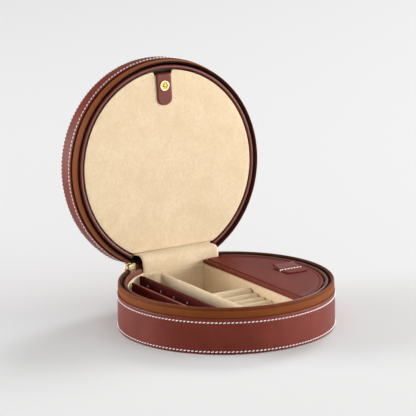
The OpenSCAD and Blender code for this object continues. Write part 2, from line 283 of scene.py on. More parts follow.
def plated_brass(name, colour, roughness):
    """Polished pale gold plating with faint polishing marks."""
    material, tree, shader = new_material(name)
    where = millimetres(tree)
    marks = noise(tree, add(tree, "Mapping", {0: where, 3: (0.6, 6.0, 6.0)}).outputs[0], 1.0, 3)
    clouds = noise(tree, where, 0.8, 2)
    shade = mix_colour(tree, remap(tree, clouds, 0.3, 0.7, 0, 1), colour, tinted(colour, (0.97, 0.92, 0.80)))
    gloss = remap(tree, marks, 0.3, 0.7, roughness - 0.04, roughness + 0.08)
    finish_shader(tree, shader, shade, gloss, bump(tree, marks, 0.004, 0.3), Metallic=1.0)
    return material


def paper_board(name, colour):
    """Greyboard faced with dark paper: faint fibres, no gloss. Its dark colour also serves as painted shade
    where it shows in gaps and behind the notch.
    """
    material, tree, shader = new_material(name)
    where = millimetres(tree)
    fibres = noise(tree, add(tree, "Mapping", {0: where, 3: (1.5, 1.5, 0.3)}).outputs[0], 1.0, 4)
    shade = mix_colour(tree, remap(tree, fibres, 0.3, 0.7, 0, 1), tinted(colour, 0.8), colour)
    finish_shader(tree, shader, shade, 0.85, bump(tree, fibres, 0.03, 0.5), Specular_IOR_Level=0.2)
    return material


def twisted_thread(name, colour):
    """Waxed thread: a twist that follows each stitch, from the stitch's own UV map."""
    material, tree, shader = new_material(name)
    where = add(tree, "Mapping", {0: millimetres(tree, "UV"), 2: (0, 0, 0.6)}).outputs[0]
    twist = add(tree, "TexWave", {"Vector": where, "Scale": 0.9, "Distortion": 0.4},
                bands_direction="X").outputs["Fac"]
    shade = mix_colour(tree, remap(tree, twist, 0, 1, 0.25, 0), colour, tinted(colour, 0.75))
    finish_shader(tree, shader, shade, 0.55, bump(tree, twist, 0.08, 0.7),
                  Specular_IOR_Level=0.4, Sheen_Weight=0.2, Sheen_Roughness=0.5)
    return material


OUTER = leather("outer_leather", (0.160, 0.0165, 0.005), roughness=0.38, specular=0.27)
INNER = leather("inner_leather", (0.155, 0.016, 0.006), roughness=0.45, specular=0.13, grain=0.65)
COLLAR = leather("collar_leather", (0.140, 0.018, 0.010), roughness=0.34, specular=0.45, grain=0.65)
DARK = leather("panel_leather", (0.078, 0.0045, 0.003), roughness=0.5, specular=0.06, grain=0.6)
# A lighter leather for the outer earring board's piping: partly its cut edge, partly painted highlight along
# its top
PIPING_HIGHLIGHT = leather("panel_piping_highlight", (0.30, 0.062, 0.038), roughness=0.45, specular=0.3, grain=0.6)
SUEDE = suede_cloth("suede", (0.80, 0.65, 0.455))
TAPE = woven_tape("zip_tape", (0.205, 0.052, 0.010))
# A darker copy of the tape for the base's rolled bead: painted shade on the bead
TAPE_BEAD_SHADE = woven_tape("zip_tape_bead_shaded", (0.165, 0.038, 0.012))
COIL = nylon("zip_coil", (0.035, 0.012, 0.007))
BRASS = plated_brass("brass", (1.0, 0.90, 0.60), 0.24)
CAP_BRASS = plated_brass("brass_cap", (0.80, 0.64, 0.34), 0.30)
# A darker, more orange brass for the snap cap's recessed dish: its own tone, darkened further as painted
# shade in the recess
DISH_BRASS_SHADED = plated_brass("brass_dish_shaded", (0.46, 0.24, 0.05), 0.14)
# Near-black board colour: partly painted shade, so the gaps where boards show read dark
BOARD = paper_board("board", (0.030, 0.012, 0.009))
# Near-black board behind the strap's notch: painted shadow
NOTCH_SHADOW = paper_board("notch_shadow_board", (0.005, 0.002, 0.002))
THREAD = twisted_thread("thread", (0.97, 0.92, 0.90))


# ---- mesh helpers ----

def unit(rows):
    """Each row scaled to a length of one."""
    return rows / np.linalg.norm(rows, axis=1)[:, None]


def circle(radius, z, sides):
    """A level row of points round the Z axis."""
    turns = [2 * math.pi * i / sides for i in range(sides)]
    return [(radius * math.cos(t), radius * math.sin(t), z) for t in turns]


def mesh_object(name, points, faces, uvs, material, place=None):
    """An object from points in millimetres, with one UV per face corner and outward faces."""
    mesh = bpy.data.meshes.new(name)
    placed = [place @ Vector(p) for p in points] if place else [Vector(p) for p in points]
    mesh.from_pydata([p * MM for p in placed], [], faces)
    layer = mesh.uv_layers.new(name="UVMap")
    layer.data.foreach_set("uv", [c for face in uvs for uv in face for c in uv])
    shaped = bmesh.new()
    shaped.from_mesh(mesh)
    bmesh.ops.recalc_face_normals(shaped, faces=shaped.faces)
    shaped.to_mesh(mesh)
    shaped.free()
    mesh.polygons.foreach_set("use_smooth", [True] * len(mesh.polygons))
    mesh.materials.append(material)
    made = bpy.data.objects.new(name, mesh)
    bpy.context.scene.collection.objects.link(made)
    return made


def skin(name, rows, material, around=False, along=False, fill_ends=False, place=None):
    """A surface through rows of points, with as many points in each row. around joins each row's ends,
    along joins the last row to the first, and fill_ends closes the surface at the rows' two ends."""
    rows = np.asarray(rows, float)
    high_count, wide_count = rows.shape[:2]
    middle = rows[high_count // 2]
    steps_u = np.linalg.norm(np.roll(middle, -1, axis=0) - middle, axis=1)
    steps_v = np.linalg.norm(np.roll(rows[:, 0], -1, axis=0) - rows[:, 0], axis=1)
    u = np.concatenate([[0], np.cumsum(steps_u)])
    v = np.concatenate([[0], np.cumsum(steps_v)])
    faces, uvs = [], []
    for j in range(high_count if along else high_count - 1):
        for i in range(wide_count if around else wide_count - 1):
            a, b = j * wide_count, (j + 1) % high_count * wide_count
            k = (i + 1) % wide_count
            faces.append((a + i, a + k, b + k, b + i))
            uvs.append(((u[i], v[j]), (u[i + 1], v[j]), (u[i + 1], v[j + 1]), (u[i], v[j + 1])))
    if fill_ends:
        for column in (0, wide_count - 1):
            faces.append([j * wide_count + column for j in range(high_count)])
            uvs.append([(0, v[j]) for j in range(high_count)])
    return mesh_object(name, rows.reshape(-1, 3), faces, uvs, material, place)


def clipped(value, limit, softness):
    """The smaller of value and limit, with the corner between them rounded."""
    gap = max(softness - abs(value - limit), 0) / softness
    return min(value, limit) - gap * gap * softness / 4


class CaseOutline:
    """The case seen from above: a circle with a straight back, walked at an even pace."""

    def __init__(self, radius, back, softness=5.0):
        self.radius, self.back, self.softness = radius, back, softness
        turns = np.linspace(-math.pi / 2, 1.5 * math.pi, 1441)
        walked = np.array([self.point(t, 0) for t in turns])
        lengths = np.concatenate([[0], np.cumsum(np.linalg.norm(np.diff(walked, axis=0), axis=1))])
        self.length = lengths[-1]
        self.stitches = round(self.length / STITCH_PITCH)
        self.turn_at = lambda length: float(np.interp(length % self.length, lengths, turns))

    def point(self, turn, inset):
        radius = self.radius - inset
        return (radius * math.cos(turn),
                clipped(radius * math.sin(turn), self.back - inset, self.softness))

    def turns(self, per_stitch=3):
        count = self.stitches * per_stitch
        return [self.turn_at(i * self.length / count) for i in range(count)]

    def outward(self, turn, inset):
        step = 0.004
        ax, ay = self.point(turn - step, inset)
        bx, by = self.point(turn + step, inset)
        return Vector((by - ay, ax - bx, 0)).normalized()


SHELL = CaseOutline(CASE_R, BACK_Y)


def arc_turns(start, sweep, step=1.2):
    """Angles in radians along a stretch of the circle, given in degrees."""
    count = max(2, round(sweep / step) + 1)
    return [math.radians(start + sweep * i / (count - 1)) for i in range(count)]


def wrap(name, section, material, turns=None, round_only=False, place=None, wave=None):
    """Carries a closed section of (inset, height) round the case's outline, or round part of it.
    wave(turn index, height) is a further inset, for puckers along a row of stitches."""
    closed = turns is None
    turns = turns or SHELL.turns()
    rows = []
    for inset, z in section:
        row = []
        for i, turn in enumerate(turns):
            depth = inset + (wave(i, z) if wave and inset < LEATHER_T / 2 else 0)
            if round_only:
                radius = SHELL.radius - depth
                row.append((radius * math.cos(turn), radius * math.sin(turn), z))
            else:
                row.append((*SHELL.point(turn, depth), z))
        rows.append(row)
    return skin(name, rows, material, around=closed, along=True, fill_ends=not closed, place=place)


def soft_section(outer, thickness, z0, z1, radius, steps=5):
    """A closed section with its outer face at inset outer and all four corners rounded."""
    section = []
    corners = ((outer + radius, z0 + radius, 180), (outer + radius, z1 - radius, 90),
               (outer + thickness - radius, z1 - radius, 0), (outer + thickness - radius, z0 + radius, -90))
    for cx, cz, start in corners:
        for i in range(steps + 1):
            angle = math.radians(start + 90 - 90 * i / steps)
            section.append((cx + radius * math.cos(angle), cz + radius * math.sin(angle)))
    return section


def even(points, spacing):
    """A closed outline walked in even steps, so its corners and straight runs carry enough points."""
    loop = np.array([*points, points[0]], float)
    lengths = np.concatenate([[0], np.cumsum(np.linalg.norm(np.diff(loop, axis=0), axis=1))])
    count = max(24, round(lengths[-1] / spacing))
    marks = np.linspace(0, lengths[-1], count, endpoint=False)
    return np.column_stack([np.interp(marks, lengths, loop[:, i]) for i in range(2)])


def rounded(corners):
    """An outline from (x, y, radius) corners, anticlockwise, each corner rounded."""
    points = []
    count, steps = len(corners), 6
    for i, (x, y, radius) in enumerate(corners):
        here = Vector((x, y))
        before = (Vector(corners[i - 1][:2]) - here).normalized()
        after = (Vector(corners[(i + 1) % count][:2]) - here).normalized()
        half = before.angle(after) / 2
        if radius <= 0 or half > 1.55:
            points.append(here)
            continue
        reach = radius / math.tan(half)
        a, b = here + before * reach, here + after * reach
        for k in range(steps + 1):
            s = k / steps
            points.append(a * (1 - s) ** 2 + here * 2 * s * (1 - s) + b * s ** 2)
    return [tuple(p) for p in points]


def inset_outline(points, distance):
    """An anticlockwise outline moved inwards."""
    along = unit(np.roll(points, -1, axis=0) - np.roll(points, 1, axis=0))
    return points + np.column_stack([-along[:, 1], along[:, 0]]) * distance


def edge_distance(points, outline):
    """How far each point lies from an outline."""
    starts, steps = outline, np.roll(outline, -1, axis=0) - outline
    lengths = (steps ** 2).sum(axis=1)
    nearest = np.full(len(points), np.inf)
    for start, step, length in zip(starts, steps, lengths):
        share = np.clip(((points - start) @ step) / length, 0, 1)
        nearest = np.minimum(nearest, np.linalg.norm(points - start - share[:, None] * step, axis=1))
    return nearest


def fill(ring, inner):
    """Fills a ring with triangles through the inner points. Returns the points that were added and the
    faces, which number the ring's points first."""
    count = len(ring)
    loop = [(i, (i + 1) % count) for i in range(count)]
    flat = [Vector(p) for p in np.vstack([ring, inner])]
    corners, _, faces, sources, _, _ = delaunay_2d_cdt(flat, loop, [], 1, 1e-6)
    added, number = [], {}
    for i, (corner, source) in enumerate(zip(corners, sources)):
        if source and min(source) < count:
            number[i] = min(source)
        else:
            number[i] = count + len(added)
            added.append(tuple(corner))
    return np.array(added).reshape(-1, 2), [[number[i] for i in face] for face in faces]


def plate(name, outline, z0, z1, edge, material, top=None, underside=None, spacing=1.0, levels=(), pitch=3.0,
          place=None):
    """A flat piece with rounded edges. top and underside, where given, are functions of the distance
    from the edge that say how far the face stands above or below its level. levels are distances from
    the edge at which the faces have a row of points, besides a grid of the given pitch."""
    outline = even(outline, spacing)
    rim = inset_outline(outline, edge)
    lowest, highest = outline.min(axis=0), outline.max(axis=0)
    inner = []
    for level in levels:
        row = inset_outline(outline, level)
        inner.append(row[edge_distance(row, outline) > level - 0.02])
    rows = np.arange(lowest[1], highest[1], pitch * 0.866)
    grid = np.array([(x + (k % 2) * pitch / 2, y) for k, y in enumerate(rows)
                     for x in np.arange(lowest[0], highest[0], pitch)]).reshape(-1, 2)
    clear = (max(levels) if len(levels) else edge) + pitch * 0.55
    grid = grid[edge_distance(grid, outline) > clear]
    turns = np.vstack([outline, outline[:1]])
    inside = np.zeros(len(grid), bool)
    for (ax, ay), (bx, by) in zip(turns[:-1], turns[1:]):
        crosses = (ay > grid[:, 1]) != (by > grid[:, 1])
        with np.errstate(divide="ignore", invalid="ignore"):
            inside ^= crosses & (grid[:, 0] < (bx - ax) * (grid[:, 1] - ay) / (by - ay) + ax)
    added, faces_in = fill(rim, np.vstack([*inner, grid[inside]]))
    count = len(outline)
    quarter = [math.radians(18 * i) for i in range(6)]
    profile = [(edge - edge * math.cos(a), z0 + edge - edge * math.sin(a)) for a in reversed(quarter)]
    profile += [(edge - edge * math.cos(a), z1 - edge + edge * math.sin(a)) for a in quarter]
    top = top or (lambda d: 0.0)
    underside = underside or (lambda d: 0.0)
    profile[0] = (edge, z0 - underside(edge))
    profile[-1] = (edge, z1 + top(edge))
    points = []
    for inset, z in profile:
        points.extend((x, y, z) for x, y in inset_outline(outline, inset))
    depth = edge_distance(added, outline)
    under_start = len(points)
    points.extend((x, y, z0 - underside(d)) for (x, y), d in zip(added, depth))
    top_start = len(points)
    points.extend((x, y, z1 + top(d)) for (x, y), d in zip(added, depth))
    faces = []
    for j in range(len(profile) - 1):
        for i in range(count):
            k = (i + 1) % count
            faces.append((j * count + i, j * count + k, (j + 1) * count + k, (j + 1) * count + i))
    last_ring = (len(profile) - 1) * count
    for face in faces_in:
        faces.append([i if i < count else i - count + under_start for i in reversed(face)])
        faces.append([last_ring + i if i < count else i - count + top_start for i in face])
    uvs = [[points[i][:2] for i in face] for face in faces]
    return mesh_object(name, points, faces, uvs, material, place)


def stitch_row(name, places, length=2.5, radius=0.48, slant=14, place=None):
    """A row of stitches. Each place is (middle, direction along the row, direction outwards)."""
    rings, sides = 7, 7
    points, faces, uvs = [], [], []
    for middle, along, outward in places:
        along = Matrix.Rotation(math.radians(slant), 3, outward) @ along
        across = outward.cross(along)
        start = len(points)
        for i in range(rings):
            t = 2 * i / (rings - 1) - 1
            line = middle + along * (t * length / 2) + outward * (0.30 - 0.62 * t * t) * radius
            size = radius * math.sqrt(max(1 - t ** 6, 0.06))
            for k in range(sides):
                a = 2 * math.pi * k / sides
                points.append(line + (across * math.cos(a) + outward * math.sin(a)) * size)
        for i in range(rings - 1):
            for k in range(sides):
                n = (k + 1) % sides
                a, b = start + i * sides, start + (i + 1) * sides
                faces.append((a + k, a + n, b + n, b + k))
                v0, v1 = k * 0.3, (k + 1) * 0.3
                u0, u1 = i * length / rings, (i + 1) * length / rings
                uvs.append(((u0, v0), (u0, v1), (u1, v1), (u1, v0)))
        for end in (0, rings - 1):
            faces.append([start + end * sides + k for k in range(sides)])
            uvs.append([(0, 0.3 * k) for k in range(sides)])
    return mesh_object(name, points, faces, uvs, THREAD, place)


def ribbon(name, line, width, thickness, material, edge, place=None, steps=12):
    """A strip of leather or cloth whose width runs along X: line is its middle in millimetres."""
    line = np.array(line, float)
    across = np.array((1.0, 0.0, 0.0))
    up = unit(np.cross(across, unit(np.gradient(line, axis=0))))
    widths = width if hasattr(width, "__len__") else [width] * len(line)
    section = []
    edge = min(edge, thickness / 2 * 0.98)
    for sign in (1, -1):
        for i in range(steps + 1):
            section.append((sign * (1 - 2 * i / steps), sign * 0.5))
    rows = []
    for s, h in section:
        row = []
        for point, lift, wide in zip(line, up, widths):
            near = max(abs(s) * wide / 2 - (wide / 2 - edge), 0) / edge
            drop = edge * (1 - math.sqrt(max(1 - near * near, 0))) / thickness
            row.append(point + across * s * wide / 2 + lift * thickness * math.copysign(0.5 - drop, h))
        rows.append(row)
    return skin(name, rows, material, along=True, fill_ends=True, place=place)


def bezier(a, b, c, d, steps):
    """Points of a smooth curve from a to d that leaves towards b and arrives from c."""
    a, b, c, d = (Vector(p) for p in (a, b, c, d))
    points = []
    for i in range(steps + 1):
        s = i / steps
        r = 1 - s
        points.append(a * r ** 3 + b * 3 * r * r * s + c * 3 * r * s * s + d * s ** 3)
    return points


def lathe(name, profile, material, sides, place):
    """A turned piece about the Z axis. profile is a list of (radius, height), from axis to axis."""
    rows = [circle(max(radius, 0.01), z, sides) for radius, z in profile]
    made = skin(name, rows, material, around=True, place=place)
    shaped = bmesh.new()
    shaped.from_mesh(made.data)
    bmesh.ops.holes_fill(shaped, edges=shaped.edges)
    bmesh.ops.recalc_face_normals(shaped, faces=shaped.faces)
    shaped.to_mesh(made.data)
    shaped.free()
    return made


def turned_ring(name, section, material, sides, place):
    """A turned piece that is open along its axis, from a closed section of (radius, height)."""
    rows = [circle(radius, z, sides) for radius, z in section]
    return skin(name, rows, material, around=True, along=True, place=place)


def settle(made, body, slot, *stands_for):
    """Hands a finished piece to the frame: what it moves with and what it replaces. slot, its finish, is not
    used.
    """
    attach(made, body)
    if stands_for:
        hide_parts(*stands_for)
    return made


# ---- base shell ----

def stitched_wall(z0, z1, rows):
    """The section of a leather wall: a face sampled finely enough to dip along its stitch rows."""
    face = []
    count, edge = 34, 0.55
    for i in range(count + 1):
        z = z0 + (z1 - z0) * i / count
        end = min(z - z0, z1 - z)
        inset = 0.02
        if end < edge:
            inset += edge - math.sqrt(edge ** 2 - (edge - end) ** 2)
        for row in rows:
            inset += 0.20 * math.exp(-((z - row) / 0.75) ** 2)
        face.append((inset, z))
    return [*face, (LEATHER_T, z1 - 0.2), (LEATHER_T, z0 + 0.2)]


def pucker(rows):
    """The leather between two stitches is drawn in a little less than at the holes."""
    def wave(i, z):
        beat = 0.5 - 0.5 * math.cos(2 * math.pi * i / 3)
        return sum(-0.12 * beat * math.exp(-((z - row) / 0.7) ** 2) for row in rows)
    return wave


def wall_stitches(name, z, skip=None, place=None):
    """A row of stitches round the wall. skip(x, y) says where it is left out."""
    places = []
    step = SHELL.length / SHELL.stitches
    for i in range(SHELL.stitches):
        turn = SHELL.turn_at((i + 0.5) * step)
        x, y = SHELL.point(turn, 0.12)
        if skip and skip(x, y):
            continue
        outward = SHELL.outward(turn, 0)
        places.append((Vector((x, y, z)), Vector((0, 0, 1)).cross(outward), outward))
    return stitch_row(name, places, place=place)


def behind_spine(x, y):
    """Whether the spine's leather covers a stitch."""
    return y > 70 and abs(x) < high("spine_leather").x + 1.5


BASE_ROWS = (2.3, 26.6)
wall = wrap("base_wall", stitched_wall(LEATHER_T + 0.05, WALL_TOP, BASE_ROWS), OUTER, wave=pucker(BASE_ROWS))
settle(wall, "base", "outer_leather", "base_wall_leather")
settle(wall_stitches("base_lower_stitches", BASE_ROWS[0]), "base", "outer_leather")
settle(wall_stitches("base_upper_stitches", BASE_ROWS[1], behind_spine), "base", "outer_leather")


def case_loop(inset):
    """The case's outline from above, moved inwards."""
    return [SHELL.point(turn, inset) for turn in SHELL.turns(2)]


underside = plate("base_underside", case_loop(0.05), 0, LEATHER_T, 0.5, OUTER, spacing=1.6,
                  underside=lambda d: -0.35 * math.exp(-((d - 4) / 0.8) ** 2))
settle(underside, "base", "outer_leather", "base_bottom_leather")


# ---- zip ----

# Each part of the zip tape as a closed section of (inset, share of the way from wall to seam)
BASE_BAND = [(0.95, -0.02), (0.50, 0.20), (0.42, 0.42), (0.55, 0.62), (1.45, 0.72), (1.9, 0.735),
             (2.1, 0.68), (1.95, 0.5), (1.9, -0.02)]
BASE_BEAD = [(1.9, 0.68), (1.35, 0.745), (0.70, 0.80), (0.68, 0.88), (1.0, 0.955), (1.6, 1.0),
             (2.1, 0.985), (2.4, 0.91), (2.3, 0.82), (2.0, 0.74)]
LID_BAND = [(2.0, -0.02), (1.45, 0.12), (1.0, 0.30), (1.0, 0.52), (1.3, 0.76), (1.6, 0.92), (1.85, 1.0),
            (2.25, 1.0), (2.45, 0.92), (2.3, 0.7), (2.3, 0.4), (2.6, -0.02)]


def tape_section(shape, z_wall, z_edge):
    """A part of the tape as a closed section of (inset, height), its corners cut twice to round them."""
    section = [(inset, z_wall + (z_edge - z_wall) * share) for inset, share in shape]
    for _ in range(2):
        cut = []
        for i, here in enumerate(section):
            after = section[(i + 1) % len(section)]
            cut.append(tuple(a * 0.75 + b * 0.25 for a, b in zip(here, after)))
            cut.append(tuple(a * 0.25 + b * 0.75 for a, b in zip(here, after)))
        section = cut
    return section


SEAM = (TAPE_TOP + LID_TAPE) / 2
BEAD_GAP = 0.08
base_turns, lid_turns = arc_turns(115.5, 309), arc_turns(119.5, 302)
band = wrap("base_tape", tape_section(BASE_BAND, WALL_TOP, SEAM - BEAD_GAP), TAPE, turns=base_turns,
            round_only=True)
settle(band, "base", "zip_tape", "base_zip_tape")
# The bead takes the darker tape: painted shade
bead = wrap("base_tape_bead", tape_section(BASE_BEAD, WALL_TOP, SEAM - BEAD_GAP), TAPE_BEAD_SHADE,
            turns=base_turns, round_only=True)
settle(bead, "base", "zip_tape")
band = wrap("lid_tape", tape_section(LID_BAND, LID_WALL, SEAM + BEAD_GAP), TAPE, turns=lid_turns,
            round_only=True, place=OPENED)
settle(band, "lid", "zip_tape", "lid_zip_tape")


def coil(name, radius, z, start, sweep, side, place=None):
    """A nylon zip coil: one filament wound in flat loops round the inside of the tape."""
    pitch, wire, per_turn, sides = 1.1, 0.24, 8, 5
    turns_made = int(math.radians(sweep) * radius / pitch)
    line = []
    for i in range(turns_made * per_turn + 1):
        turn = math.radians(start) + math.radians(sweep) * i / (turns_made * per_turn)
        phase = 2 * math.pi * i / per_turn
        reach = radius + 0.42 * math.cos(phase)
        line.append((reach * math.cos(turn), reach * math.sin(turn), z + side * 0.75 * math.sin(phase)))
    line = np.array(line)
    along = unit(np.gradient(line, axis=0))
    first = unit(np.cross(along, (0, 0, 1)))
    second = np.cross(along, first)
    rows = []
    for k in range(sides):
        a = 2 * math.pi * k / sides
        rows.append(line + (first * math.cos(a) + second * math.sin(a)) * wire)
    return skin(name, rows, COIL, along=True, fill_ends=True, place=place)


COIL_R = CASE_R - 3.05
settle(coil("base_coil", COIL_R, SEAM - 1.9, 117, 306, 1), "base", "zip_coil", "base_zip_coil")
settle(coil("lid_coil", COIL_R, SEAM + 1.9, 120, 301, -1, OPENED), "lid", "zip_coil", "lid_zip_coil")


def end_tab(name, start):
    """A small leather tab folded over the end of the zip."""
    radius = TAPE_R + 0.55
    section = soft_section(CASE_R - radius - 0.4, 1.1, low("zip_end_tabs").z, high("zip_end_tabs").z, 0.4)
    return wrap(name, section, OUTER, turns=arc_turns(start, 2.8, 0.35), round_only=True)


settle(end_tab("zip_end_tab_left", 115.4), "base", "outer_leather", "zip_end_tabs")
settle(end_tab("zip_end_tab_right", 61.8), "base", "outer_leather")


# ---- rings that hold the tray and the lid panel ----

def ring_ends(x_end, radius):
    """Where a ring stops beside the hinge: its first angle and its sweep, in degrees."""
    start = math.degrees(math.acos(-x_end / radius))
    return start, 360 - 2 * (start - 90)


def collar(name, z_free, z_fixed, material, place=None):
    """A stiff leather-covered ring with a rolled rim. It narrows to a soft end beside the hinge."""
    start, sweep = ring_ends(COLLAR_END, (COLLAR_IN + COLLAR_OUT) / 2)
    turns = arc_turns(start, sweep, 1.0)
    width = COLLAR_OUT - COLLAR_IN
    side = 1 if z_free > z_fixed else -1
    rim = []
    steps = 10
    for i in range(steps + 1):
        a = math.pi * i / steps
        rim.append((0.5 - 0.5 * math.cos(a), math.sin(a)))
    rows = []
    for share, lift in [(0, None), *rim, (1, None)]:
        row = []
        for i, turn in enumerate(turns):
            end = min(i, len(turns) - 1 - i) * math.radians(1.0) * COLLAR_IN
            fall = 2.4 * max(1 - end / 3.0, 0) ** 2
            radius = COLLAR_OUT - share * width
            height = z_fixed if lift is None else z_free - side * (fall + (1 - lift) * 1.1)
            row.append((radius * math.cos(turn), radius * math.sin(turn), height))
        rows.append(row)
    return skin(name, rows, material, along=True, fill_ends=True, place=place)


settle(collar("base_collar", COLLAR_TOP, FLOOR_Z, COLLAR), "base", "inner_leather",
       "base_collar_leather", "base_collar_board")
settle(collar("lid_collar", LID_COLLAR, LID_CEILING, COLLAR, OPENED), "lid", "inner_leather",
       "lid_collar_leather", "lid_collar_board")


# ---- tray ----

# Turn a plate that lies flat so that its face looks along +X or along -Y
FACING_X = Matrix(((0, 0, 1, 0), (1, 0, 0, 0), (0, 1, 0, 0), (0, 0, 0, 1)))
FACING_FRONT = Matrix(((1, 0, 0, 0), (0, 0, -1, 0), (0, 1, 0, 0), (0, 0, 0, 1)))


def soften(made, amount, size, seed):
    """Moves a padded piece's surface in and out a little, as foam under cloth does."""
    mesh = made.data
    shift = Vector((17.0 * seed, 5.0 * seed, 29.0 * seed))
    moved = []
    for v in mesh.vertices:
        value = turbulence.fractal(v.co / (size * MM) + shift, 1.0, 2.0, 3)
        moved.append(v.co + v.normal * value * amount * MM)
    for v, co in zip(mesh.vertices, moved):
        v.co = co
    mesh.update()
    return made


def box_outline(x0, x1, y0, y1, radius):
    """A rectangle with rounded corners."""
    return rounded([(x0, y0, radius), (x1, y0, radius), (x1, y1, radius), (x0, y1, radius)])


def round_back(radius, back):
    """A circle with a straight back, its two corners rounded."""
    outline = CaseOutline(radius, back, softness=3.0)
    return [outline.point(turn, 0) for turn in outline.turns(2)]


tray_floor = plate("tray_floor", round_back(COLLAR_IN, high("tray_floor_suede").y), FLOOR_Z, TRAY_FLOOR, 0.3,
                   SUEDE, spacing=2.0)
settle(tray_floor, "base", "suede", "tray_floor_suede")

BACK_EDGE = high("tray_wall_suede").y
wall_start = 180 - math.degrees(math.asin(BACK_EDGE / COLLAR_IN))
tray_wall = wrap("tray_wall", soft_section(CASE_R - COLLAR_IN, COLLAR_IN - 80.8, TRAY_FLOOR, TRAY_TOP, 0.48),
                 SUEDE, turns=arc_turns(wall_start, 540 - 2 * wall_start), round_only=True)
settle(tray_wall, "base", "suede", "tray_wall_suede")

back_low, back_high = span("tray_back_wall")
tray_back = plate("tray_back", box_outline(back_low.x, back_high.x, back_low.z, back_high.z, 0.4),
                  -back_high.y, -back_low.y, 0.9, SUEDE, top=lambda d: 0.25 * (1 - math.exp(-d / 2)),
                  place=FACING_FRONT)
settle(soften(tray_back, 0.12, 22, 1), "base", "suede", "tray_back_wall")


def upright(name, node, edge, material, swell, seed=2):
    """A padded or covered board that stands along the Y axis in its CAD node's place."""
    a, b = span(node)
    outline = box_outline(a.y, b.y, a.z, b.z, 1.2)
    side = lambda d: swell * (1 - math.exp(-d / 3.0))
    made = plate(name, outline, a.x + swell, b.x - swell, edge, material, top=side, underside=side,
                 spacing=1.6, place=FACING_X)
    return soften(made, 0.15 * min(1, swell * 4), 18, seed)


centre = upright("centre_partition", "centre_wall", 1.2, SUEDE, 0.10)
settle(centre, "base", "suede", "centre_wall")
divider = upright("padded_divider", "divider", 1.55, SUEDE, 0.30, seed=3)
settle(divider, "base", "suede", "divider")


def applied(made):
    """Turns an object's modifiers into plain mesh."""
    bpy.context.view_layer.update()
    shaped = bpy.data.meshes.new_from_object(made.evaluated_get(bpy.context.evaluated_depsgraph_get()))
    made.modifiers.clear()
    made.data = shaped
    return made


def punch(made, cutter):
    """Cuts the cutter's shape out of a piece and deletes the cutter."""
    cut = made.modifiers.new("punched", "BOOLEAN")
    cut.operation = "DIFFERENCE"
    cut.solver = "EXACT"
    cut.object = cutter
    applied(made)
    bpy.data.objects.remove(cutter)
    made.data.polygons.foreach_set("use_smooth", [True] * len(made.data.polygons))
    return made


HOLE_R, HOLE_Z, HOLE_PITCH = 0.7, 27.5, 21.0


def pins(name, x0, x1, holes, radius):
    """Round pins along X at each hole, as one cutter."""
    points, faces = [], []
    sides = 20
    for y in holes:
        start = len(points)
        for x in (x0, x1):
            for k in range(sides):
                a = 2 * math.pi * k / sides
                points.append((x, y + radius * math.cos(a), HOLE_Z + radius * math.sin(a)))
        for k in range(sides):
            n = (k + 1) % sides
            faces.append((start + k, start + n, start + sides + n, start + sides + k))
        faces.append([start + k for k in range(sides)])
        faces.append([start + sides + k for k in range(sides)])
    uvs = [[(0, 0)] * len(face) for face in faces]
    return mesh_object(name, points, faces, uvs, DARK)


def ring(name, middle, radius, tube, material):
    """A small torus about the X axis."""
    rows = []
    for j in range(10):
        b = 2 * math.pi * j / 10
        row = []
        for i in range(28):
            a = 2 * math.pi * i / 28
            reach = radius + tube * math.cos(b)
            row.append((middle[0] + tube * math.sin(b), middle[1] + reach * math.cos(a),
                        middle[2] + reach * math.sin(a)))
        rows.append(row)
    return skin(name, rows, material, around=True, along=True)


def earring_board(name, node, holes, piping, bound):
    """A leather-covered board with a piped upper edge and a row of holes, some bound with thread."""
    a, b = span(node)
    board = upright(name, node, min(0.75, (b.x - a.x) / 2 - 0.05), DARK, 0.04)
    punch(board, pins("holes", a.x - 1, b.x + 1, holes, HOLE_R))
    settle(board, "base", "panel_leather", node)
    reach = (b.y - a.y) / 2 - 1.5
    line = [Vector(((a.x + b.x) / 2, y, b.z - 0.05 - 0.5 * max(abs(y) - reach + 2, 0) ** 2 / 4))
            for y in np.linspace(-reach, reach, 60)]
    welt = ribbon(f"{name}_piping", line, b.x - a.x - 0.3, 0.7, piping, edge=0.34, steps=8)
    settle(welt, "base", "panel_leather")
    for i, y in enumerate(holes if bound else []):
        eyelet = ring(f"{name}_eyelet_{i + 1}", (a.x + 0.05, y, HOLE_Z), HOLE_R + 0.1, 0.13, THREAD)
        settle(eyelet, "base", "panel_leather")


earring_board("earring_board_inner", "earring_panel_inner", [(i - 2.5) * HOLE_PITCH for i in range(6)], DARK,
              bound=True)
# The outer board's piping takes the lighter leather: painted highlight along its top edge, partly its cut
# edge
earring_board("earring_board_outer", "earring_panel_outer", [(i - 2) * HOLE_PITCH for i in range(5)], PIPING_HIGHLIGHT,
              bound=False)


def roll_bed():
    """The foam bed under the rolls: it follows their undersides and rises to the rearmost one."""
    a, b = span("ring_roll_bed")
    rolls = [f"ring_roll_{number}" for number in range(7, 0, -1)]
    middles = [(low(node).y + high(node).y) / 2 for node in rolls]
    heights = [low(node).z + 0.35 for node in rolls]
    top = [(y, np.interp(y, middles, heights)) for y in np.linspace(a.y, b.y - 0.2, 60)]
    section = [(a.y, a.z), (b.y - 0.2, a.z), *reversed(top)]
    xs = np.linspace(a.x, b.x, 12)
    made = skin("roll_bed", [[(x, y, z) for x in xs] for y, z in section], SUEDE, along=True, fill_ends=True)
    settle(made, "base", "suede", "ring_roll_bed")


roll_bed()


